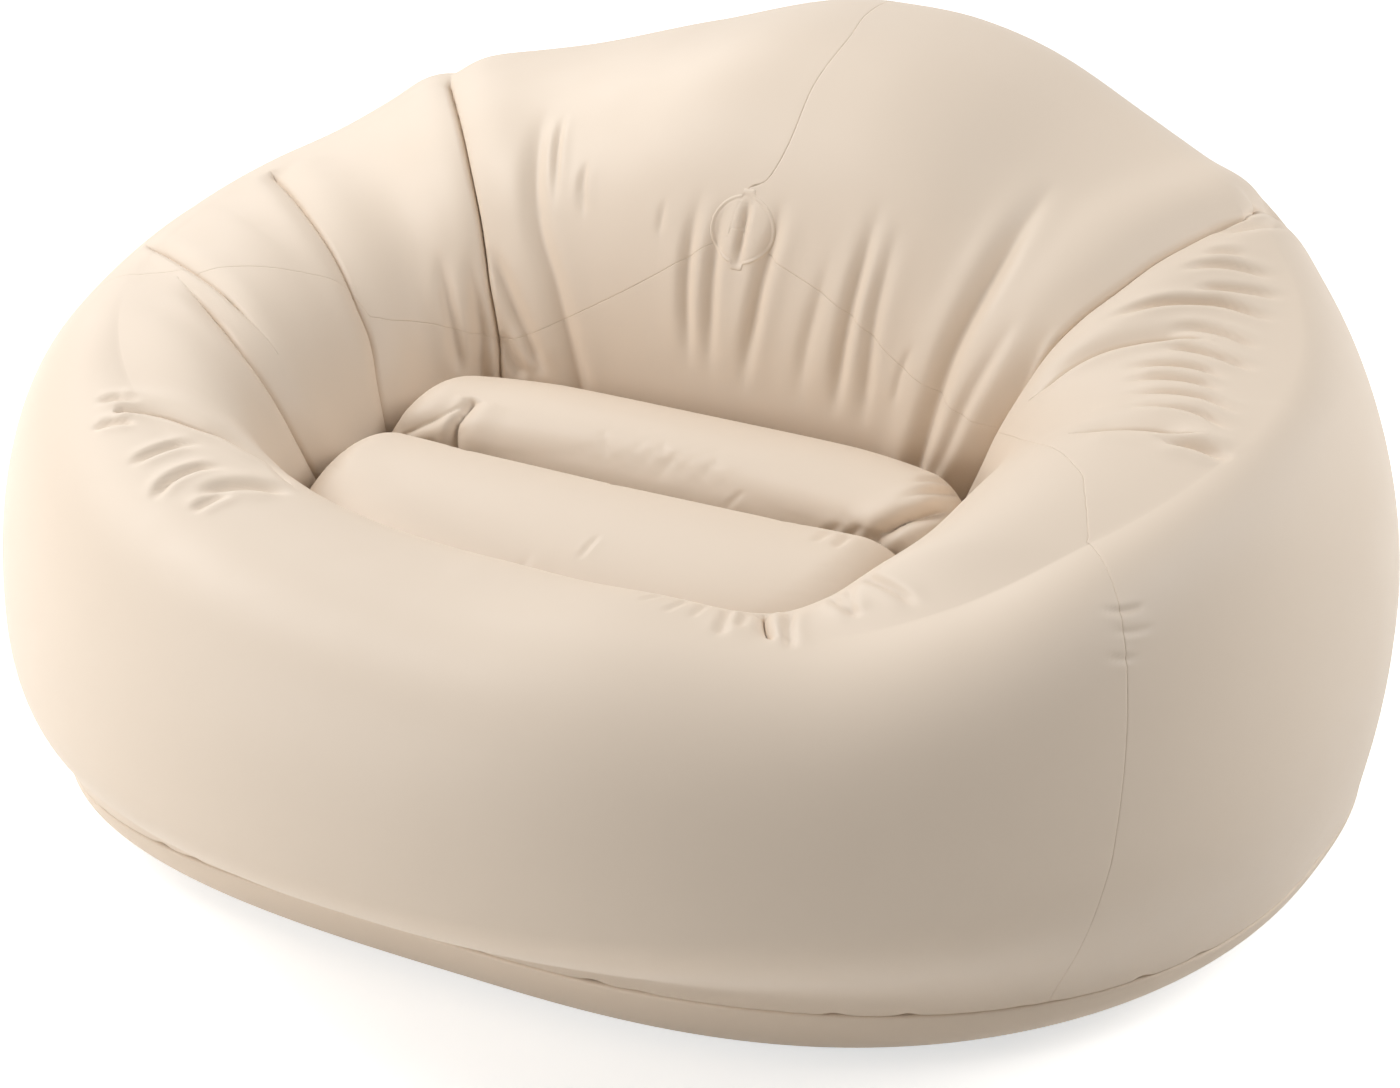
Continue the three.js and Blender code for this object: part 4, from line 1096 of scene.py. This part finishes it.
def blow_up(piece):
    """Shrinks and remeshes a closed piece, lets air press it out again and makes its cells finer."""
    inset = vectors(piece.data.vertex_normals, "vector") * CLOTH_START_INSET
    move_vertices(piece.data, vectors(piece.data.vertices, "co") - inset)
    remesh = piece.modifiers.new("voxels", "REMESH")
    remesh.mode = "VOXEL"
    remesh.voxel_size = CLOTH_VOXEL
    with_modifiers(piece)
    press_out(piece)
    finer = piece.modifiers.new("finer", "SUBSURF")
    finer.levels = finer.render_levels = 1
    with_modifiers(piece)


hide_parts("front_seat_tube")
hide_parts("rear_seat_tube")
for piece in (front_tube, rear_tube):
    blow_up(piece)
print("blown up it is", round(float(np.ptp(vectors(front_tube.data.vertices, "co")[:, 2])), 3), "m thick")

# %% [markdown]
# ## Folds at the ends of the tubes
#
# Where a tube draws in to its welded end, the sheet falls into a few short folds. The cloth is too
# coarse to find them, so they are lines in the photograph like the creases of the skin, this time
# looked at until they meet the blown-up tubes.

# %% Folds of the tubes
TUBE_CREASES = {
    "gusset": ("pleat", 1.6, 0.05, 0.1, [(474, 398), (464, 410), (454, 426), (452, 442), (453, 462)]),
    "gusset_top": ("pleat", 0.8, 0.1, 0.2, [(396, 438), (420, 426), (448, 412), (468, 402)]),
    "hook_1": ("soft", 1.5, 0.2, 0.2, [(862, 553), (870, 543), (880, 535), (905, 520), (945, 512)]),
    "hook_2": ("pleat", 1.5, 0.3, 0.2, [(868, 548), (884, 532), (908, 517), (930, 512), (952, 511)]),
    "hook_3": ("ripple", 1.2, 0.3, 0.3, [(832, 549), (850, 535), (868, 523)]),
    "hook_4": ("ripple", 0.9, 0.3, 0.3, [(812, 543), (830, 532), (846, 524)]),
    "end_1": ("ripple", 2.2, 0.4, 0.1, [(892, 503), (915, 494), (940, 491), (960, 493)]),
    "end_2": ("ripple", 1.6, 0.4, 0.1, [(905, 484), (928, 480), (950, 484)]),
    "mark_1": ("fine", 0.9, 0.4, 0.4, [(576, 562), (590, 545), (602, 532)]),
    "mark_2": ("fine", 0.8, 0.4, 0.4, [(722, 512), (736, 498), (748, 488)]),
}
print(len(TUBE_CREASES), "folds and marks on the tubes")


# %% Sink them into the tubes
def crease_tube(piece):
    """Sinks the folds into a tube that more than half of their points are seen on."""
    bm = bmesh.new()
    bm.from_mesh(piece.data)
    tree = BVHTree.FromBMesh(bm)
    lines = {name: crease_line(TUBE_CREASES, name, tree) for name in TUBE_CREASES}
    lines = {name: line for name, line in lines.items() if len(line) > PATH_POINTS // 2}
    bm.normal_update()
    points = np.array([v.co for v in bm.verts])
    normals = np.array([v.normal for v in bm.verts])
    relief = crease_relief(TUBE_CREASES, lines, points, normals)
    for vert, point in zip(bm.verts, points + normals * relief[:, None]):
        vert.co = point
    for face in bm.faces:
        face.smooth = True
    bm.to_mesh(piece.data)
    bm.free()
    print(piece.name, "has", sorted(lines), "and", len(piece.data.polygons), "faces")


crease_tube(front_tube)
crease_tube(rear_tube)

# %% [markdown]
# ## The patch
#
# A round patch covers the point where the three upper seams meet. It is welded down all over, so it
# takes up the wrinkles under it and shows only as a low rim. A flat disc laid there would cut through
# the wrinkles. So it starts as a small circle whose edge is extruded outwards ring by ring, and each
# of its points is then dropped on the skin.

# %% A disc of rings
PATCH_RADIUS = 35 * MM
PATCH_SEGMENTS = 120
PATCH_RINGS = 44
# How high the patch stands over the skin at shares of its radius, in share of the sheet's thickness
PATCH_PROFILE_SHARES = ((0.06, 0.8), (0.84, 0.8), (0.87, 0.3), (0.90, 0.3), (0.925, 1.6), (0.955, 1.8),
                        (0.98, 1.2), (0.995, 0.2), (1, -1.5))
PATCH_SHEET = 0.5 * MM


def patch_disc():
    """Flat disc of radius 1, grown ring by ring, with a ring at every bend of the profile."""
    bm = bmesh.new()
    (first, _), (last_even, _) = PATCH_PROFILE_SHARES[:2]
    bends = [share for share, _ in PATCH_PROFILE_SHARES[2:]]
    radii = np.concatenate([np.linspace(first, last_even, PATCH_RINGS), bends])
    bmesh.ops.create_circle(bm, cap_ends=True, segments=PATCH_SEGMENTS, radius=radii[0])
    for inner, outer in zip(radii, radii[1:]):
        rim = [edge for edge in bm.edges if edge.is_boundary]
        grown = bmesh.ops.extrude_edge_only(bm, edges=rim)["geom"]
        for vert in (item for item in grown if isinstance(item, bmesh.types.BMVert)):
            vert.co *= outer / inner
    print("patch disc:", len(radii), "rings and", len(bm.verts), "vertices")
    return bm


# %% Its two tabs
# Two small tabs stick out, at the top and the bottom
TAB_HALF_ANGLE = 9
TAB_SOFTNESS = 2
TAB_START_SHARE = 0.8
TAB_LENGTH_SHARE = 0.16


def tab_share(co):
    """How much a point of the disc belongs to one of the tabs."""
    from_tab = abs(abs(math.degrees(math.atan2(co.y, co.x))) - 90)
    beside = smoothstep(TAB_HALF_ANGLE, TAB_HALF_ANGLE + TAB_SOFTNESS, from_tab)
    return float((1 - beside) * smoothstep(TAB_START_SHARE, 1, co.length))


print("the tip of a tab lies", round(TAB_LENGTH_SHARE * tab_share(Vector((0, 1, 0))) * PATCH_RADIUS / MM, 1),
      "mm past the round edge")

# %% Drop it on the skins
PATCH_LOOK = 40 * MM


def tree_of(pieces):
    """One tree to look through for the surfaces of several pieces."""
    stack = bmesh.new()
    for piece in pieces:
        stack.from_mesh(piece.data)
    stack.verts.index_update()
    stack.faces.index_update()
    tree = BVHTree.FromBMesh(stack)
    stack.free()
    return tree


def make_patch(pieces):
    """Round patch with two tabs, dropped on the skins."""
    tree = tree_of(pieces)
    bm = patch_disc()
    normal = Vector(PATCH_NORMAL)
    sideways = Vector((0, 0, 1)).cross(normal).normalized()
    upwards = normal.cross(sideways)
    shares, heights = np.array(PATCH_PROFILE_SHARES).T
    for vert in bm.verts:
        stand = float(np.interp(vert.co.length, shares, heights)) * PATCH_SHEET
        across = vert.co * PATCH_RADIUS * (1 + TAB_LENGTH_SHARE * tab_share(vert.co))
        place = Vector(PATCH_CENTRE) + sideways * across.x + upwards * across.y
        depth = tree.ray_cast(place + normal * PATCH_LOOK, -normal)[3]
        sink = PATCH_LOOK - depth if depth and depth < 2 * PATCH_LOOK else 0
        vert.co = place + normal * (sink + stand)
    bmesh.ops.recalc_face_normals(bm, faces=bm.faces)
    if sum(face.normal.dot(normal) for face in bm.faces) < 0:
        bmesh.ops.reverse_faces(bm, faces=bm.faces)
    for face in bm.faces:
        face.smooth = True
    return add_piece("patch_skin", as_mesh(bm, "patch_skin"))


patch_skin = make_patch((front_skin, left_skin, right_skin))
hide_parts("back_patch")
print("patch:", len(patch_skin.data.polygons), "faces")

# %% [markdown]
# ## Materials
#
# The whole chair is soft vinyl. Its sheet is satin: it scatters light like paper and adds a broad, weak
# gloss, and close up it has a fine grain and isn't quite even in colour. Pictures of vinyl could be
# wrapped round the skin, but it has no seam-free unwrapping. Noise that is read at a place in the
# object needs none, so it carries on over every weld.
#
# One recipe serves all: the sides are satin, the base is heavier and rougher, the webs inside are
# plain and matt, the valve is moulded and glossier, and its check flap is a thin, darker rubber.

# %% Soft plastic
MOTTLE_SIZE = 300 * MM
GLOSS_SIZE = 40 * MM
GLOSS_SPREAD = 0.06
PLASTIC_SPECULAR = 0.35
GRAIN_STRENGTH = 0.35


def soft_plastic(name, colour, roughness, mottle, grain_size, grain_depth):
    """Satin plastic: mottled a little in colour and gloss, with a fine grain."""
    material = bpy.data.materials.new(name)
    material.use_nodes = True
    nodes, links = material.node_tree.nodes, material.node_tree.links
    shader = nodes["Principled BSDF"]
    shader.inputs["Specular IOR Level"].default_value = PLASTIC_SPECULAR
    place = nodes.new("ShaderNodeTexCoord")

    def noise(size, detail):
        """Noise with lumps of about a size."""
        texture = nodes.new("ShaderNodeTexNoise")
        texture.inputs["Scale"].default_value = 1 / size
        texture.inputs["Detail"].default_value = detail
        links.new(place.outputs["Object"], texture.inputs["Vector"])
        return texture.outputs["Fac"]

    tint = nodes.new("ShaderNodeMix")
    tint.data_type = "RGBA"
    tint.inputs["A"].default_value = tuple(c * (1 - mottle) for c in colour) + (1,)
    tint.inputs["B"].default_value = tuple(min(c * (1 + mottle), 1) for c in colour) + (1,)
    links.new(noise(MOTTLE_SIZE, 3), tint.inputs["Factor"])
    links.new(tint.outputs["Result"], shader.inputs["Base Color"])
    gloss = nodes.new("ShaderNodeMapRange")
    gloss.inputs["To Min"].default_value = roughness - GLOSS_SPREAD
    gloss.inputs["To Max"].default_value = roughness + GLOSS_SPREAD
    links.new(noise(GLOSS_SIZE, 4), gloss.inputs["Value"])
    links.new(gloss.outputs["Result"], shader.inputs["Roughness"])
    bump = nodes.new("ShaderNodeBump")
    bump.inputs["Strength"].default_value = GRAIN_STRENGTH
    bump.inputs["Distance"].default_value = grain_depth
    links.new(noise(grain_size, 3), bump.inputs["Height"])
    links.new(bump.outputs["Normal"], shader.inputs["Normal"])
    print(name, "has", len(nodes), "nodes")
    return material


# %% The five finishes
VINYL_COLOUR = (0.76, 0.642, 0.523)
WEB_COLOUR = (0.76, 0.67, 0.57)
VALVE_COLOUR = (0.74, 0.64, 0.52)
FLAP_COLOUR = (0.62, 0.58, 0.52)
skin_vinyl = soft_plastic("skin_vinyl", VINYL_COLOUR, roughness=0.5, mottle=0.025,
                          grain_size=1.2 * MM, grain_depth=0.04 * MM)
base_vinyl = soft_plastic("base_vinyl", VINYL_COLOUR, roughness=0.56, mottle=0.03,
                          grain_size=1.6 * MM, grain_depth=0.06 * MM)
web_vinyl = soft_plastic("web_vinyl", WEB_COLOUR, roughness=0.62, mottle=0.03,
                         grain_size=1.4 * MM, grain_depth=0.05 * MM)
valve_plastic = soft_plastic("valve_plastic", VALVE_COLOUR, roughness=0.38, mottle=0.02,
                             grain_size=0.5 * MM, grain_depth=0.015 * MM)
flap_rubber = soft_plastic("flap_rubber", FLAP_COLOUR, roughness=0.55, mottle=0.03,
                           grain_size=0.4 * MM, grain_depth=0.02 * MM)

# %% [markdown]
# ## Dress the pieces
#
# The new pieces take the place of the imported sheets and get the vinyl. The webs and the valve of the
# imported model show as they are: their solids are exact, and a copy would add nothing, so only the
# material in their slots is changed.

# %% Give each piece its finish
PIECE_FINISHES = (
    (front_skin, skin_vinyl), (left_skin, skin_vinyl), (right_skin, skin_vinyl), (front_tube, skin_vinyl),
    (rear_tube, skin_vinyl), (patch_skin, skin_vinyl), (base_skin, base_vinyl),
)
NODE_FINISHES = {
    "front_web": web_vinyl, "middle_web": web_vinyl, "rear_web": web_vinyl,
    "valve_base": valve_plastic, "valve_plug": valve_plastic, "valve_cap": valve_plastic,
    "plug_tether": valve_plastic, "check_flap": flap_rubber,
}
for piece, finish in PIECE_FINISHES:
    piece.data.materials.clear()
    piece.data.materials.append(finish)
for name, finish in NODE_FINISHES.items():
    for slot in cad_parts[name].material_slots:
        slot.material = finish
print(len(PIECE_FINISHES), "new pieces and", len(NODE_FINISHES), "carried-over nodes have their finish")

# %% [markdown]
# ## The floor
#
# The chair stands on a studio's white floor, which the photograph shows as pure white with a soft
# shadow. A plain white floor goes grey where the lamps don't reach, and one that glows would light the
# chair from below. So this one is plain to the light, but for the eye it also glows a little, and more
# with distance from the lamps.

# %% What the eye sees of the backdrop
MIRROR_AND_GLASS = ("Is Glossy Ray", "Is Transmission Ray")


def seen_directly(nodes, links):
    """1 for rays of the camera, mirrors and glass, 0 for the light that falls on the chair."""
    path = nodes.new("ShaderNodeLightPath")
    socket = path.outputs["Is Camera Ray"]
    for other in MIRROR_AND_GLASS:
        either = nodes.new("ShaderNodeMath")
        either.operation = "MAXIMUM"
        links.new(socket, either.inputs[0])
        links.new(path.outputs[other], either.inputs[1])
        socket = either.outputs[0]
    return socket


print("the backdrop glows for", 1 + len(MIRROR_AND_GLASS), "kinds of rays")

# %% Surface of the floor
FLOOR_COLOUR = (0.86, 0.845, 0.82, 1)
FLOOR_ROUGHNESS = 0.9
GLOW_COLOUR = (0.95, 0.98, 1, 1)
GLOW_NEAR = 0.62
GLOW_FAR = 1
FLOOR_LIT_WITHIN, FLOOR_DARK_BEYOND = 1.6, 5


def floor_surface():
    """White floor that also glows for the eye, more where the lamps don't reach."""
    material = bpy.data.materials.new("floor")
    material.use_nodes = True
    nodes, links = material.node_tree.nodes, material.node_tree.links
    shader = nodes["Principled BSDF"]
    shader.inputs["Base Color"].default_value = FLOOR_COLOUR
    shader.inputs["Roughness"].default_value = FLOOR_ROUGHNESS
    shader.inputs["Specular IOR Level"].default_value = 0
    place = nodes.new("ShaderNodeTexCoord")
    distance = nodes.new("ShaderNodeVectorMath")
    distance.operation = "LENGTH"
    links.new(place.outputs["Object"], distance.inputs[0])
    rising = nodes.new("ShaderNodeMapRange")
    rising.inputs["From Min"].default_value = FLOOR_LIT_WITHIN
    rising.inputs["From Max"].default_value = FLOOR_DARK_BEYOND
    rising.inputs["To Min"].default_value = GLOW_NEAR
    rising.inputs["To Max"].default_value = GLOW_FAR
    links.new(distance.outputs["Value"], rising.inputs["Value"])
    lift = nodes.new("ShaderNodeMath")
    lift.operation = "MULTIPLY"
    links.new(seen_directly(nodes, links), lift.inputs[0])
    links.new(rising.outputs["Result"], lift.inputs[1])
    glow = nodes.new("ShaderNodeEmission")
    glow.inputs["Color"].default_value = GLOW_COLOUR
    links.new(lift.outputs[0], glow.inputs["Strength"])
    both = nodes.new("ShaderNodeAddShader")
    links.new(shader.outputs[0], both.inputs[0])
    links.new(glow.outputs[0], both.inputs[1])
    links.new(both.outputs[0], nodes["Material Output"].inputs["Surface"])
    print("floor surface:", len(nodes), "nodes")
    return material


# %% Floor
FLOOR_HALF_SIZE = 12
FLOOR_DROP = 0.5 * MM
bm = bmesh.new()
bmesh.ops.create_grid(bm, x_segments=1, y_segments=1, size=FLOOR_HALF_SIZE)
floor = bpy.data.objects.new("floor", as_mesh(bm, "floor"))
floor.location.z = -FLOOR_DROP
floor.data.materials.append(floor_surface())
scene.collection.objects.link(floor)
print("floor:", 2 * FLOOR_HALF_SIZE, "m square")

# %% [markdown]
# ## Light
#
# The photograph is lit from the front left, high up, with soft light all round, as in a studio with
# large panels. One lamp would give a hard shadow, and a bright world no shape at all. So the world is
# dim except to the eye, and five square lamps, each two metres wide, model the folds.

# %% World
WORLD_LEVEL = 0.05
world = bpy.data.worlds.new("studio")
scene.world = world
world.use_nodes = True
nodes, links = world.node_tree.nodes, world.node_tree.links
background = nodes["Background"]
background.inputs["Color"].default_value = (1, 1, 1, 1)
strength = nodes.new("ShaderNodeMix")
strength.inputs["A"].default_value = WORLD_LEVEL
strength.inputs["B"].default_value = 1
links.new(seen_directly(nodes, links), strength.inputs["Factor"])
links.new(strength.outputs["Result"], background.inputs["Strength"])
print("world: white to the eye,", WORLD_LEVEL, "to the chair")

# %% Lamps
LAMP_SIZE = 2.0
LAMP_AIM = Vector((0, 0, 0.3))
# Each lamp: its place in metres and its power in watts
LAMPS = {
    "key": ((-2.6, -1.0, 3.2), 103),
    "front": ((-1.8, -3.2, 0.8), 51),
    "back left": ((-2.5, 1.5, 2.5), 32),
    "right": ((2.6, 0.3, 2.8), 60),
    "back right": ((2.5, 2.5, 1.5), 27),
}


def area_light(name, place, power):
    """Square lamp that shines on the middle of the chair."""
    data = bpy.data.lights.new(name, "AREA")
    data.energy = power
    data.size = LAMP_SIZE
    lamp = bpy.data.objects.new(name, data)
    lamp.location = place
    lamp.rotation_euler = (LAMP_AIM - Vector(place)).to_track_quat("-Z", "Y").to_euler()
    scene.collection.objects.link(lamp)


for name, (place, power) in LAMPS.items():
    area_light(name, place, power)
print(len(LAMPS), "lamps with", sum(power for _, power in LAMPS.values()), "W in all")

# %% [markdown]
# ## Finish
#
# The photograph's white is plain white, so the view keeps the colours as they are and adds no film look.

# %% Finish
scene.view_settings.view_transform = "Standard"
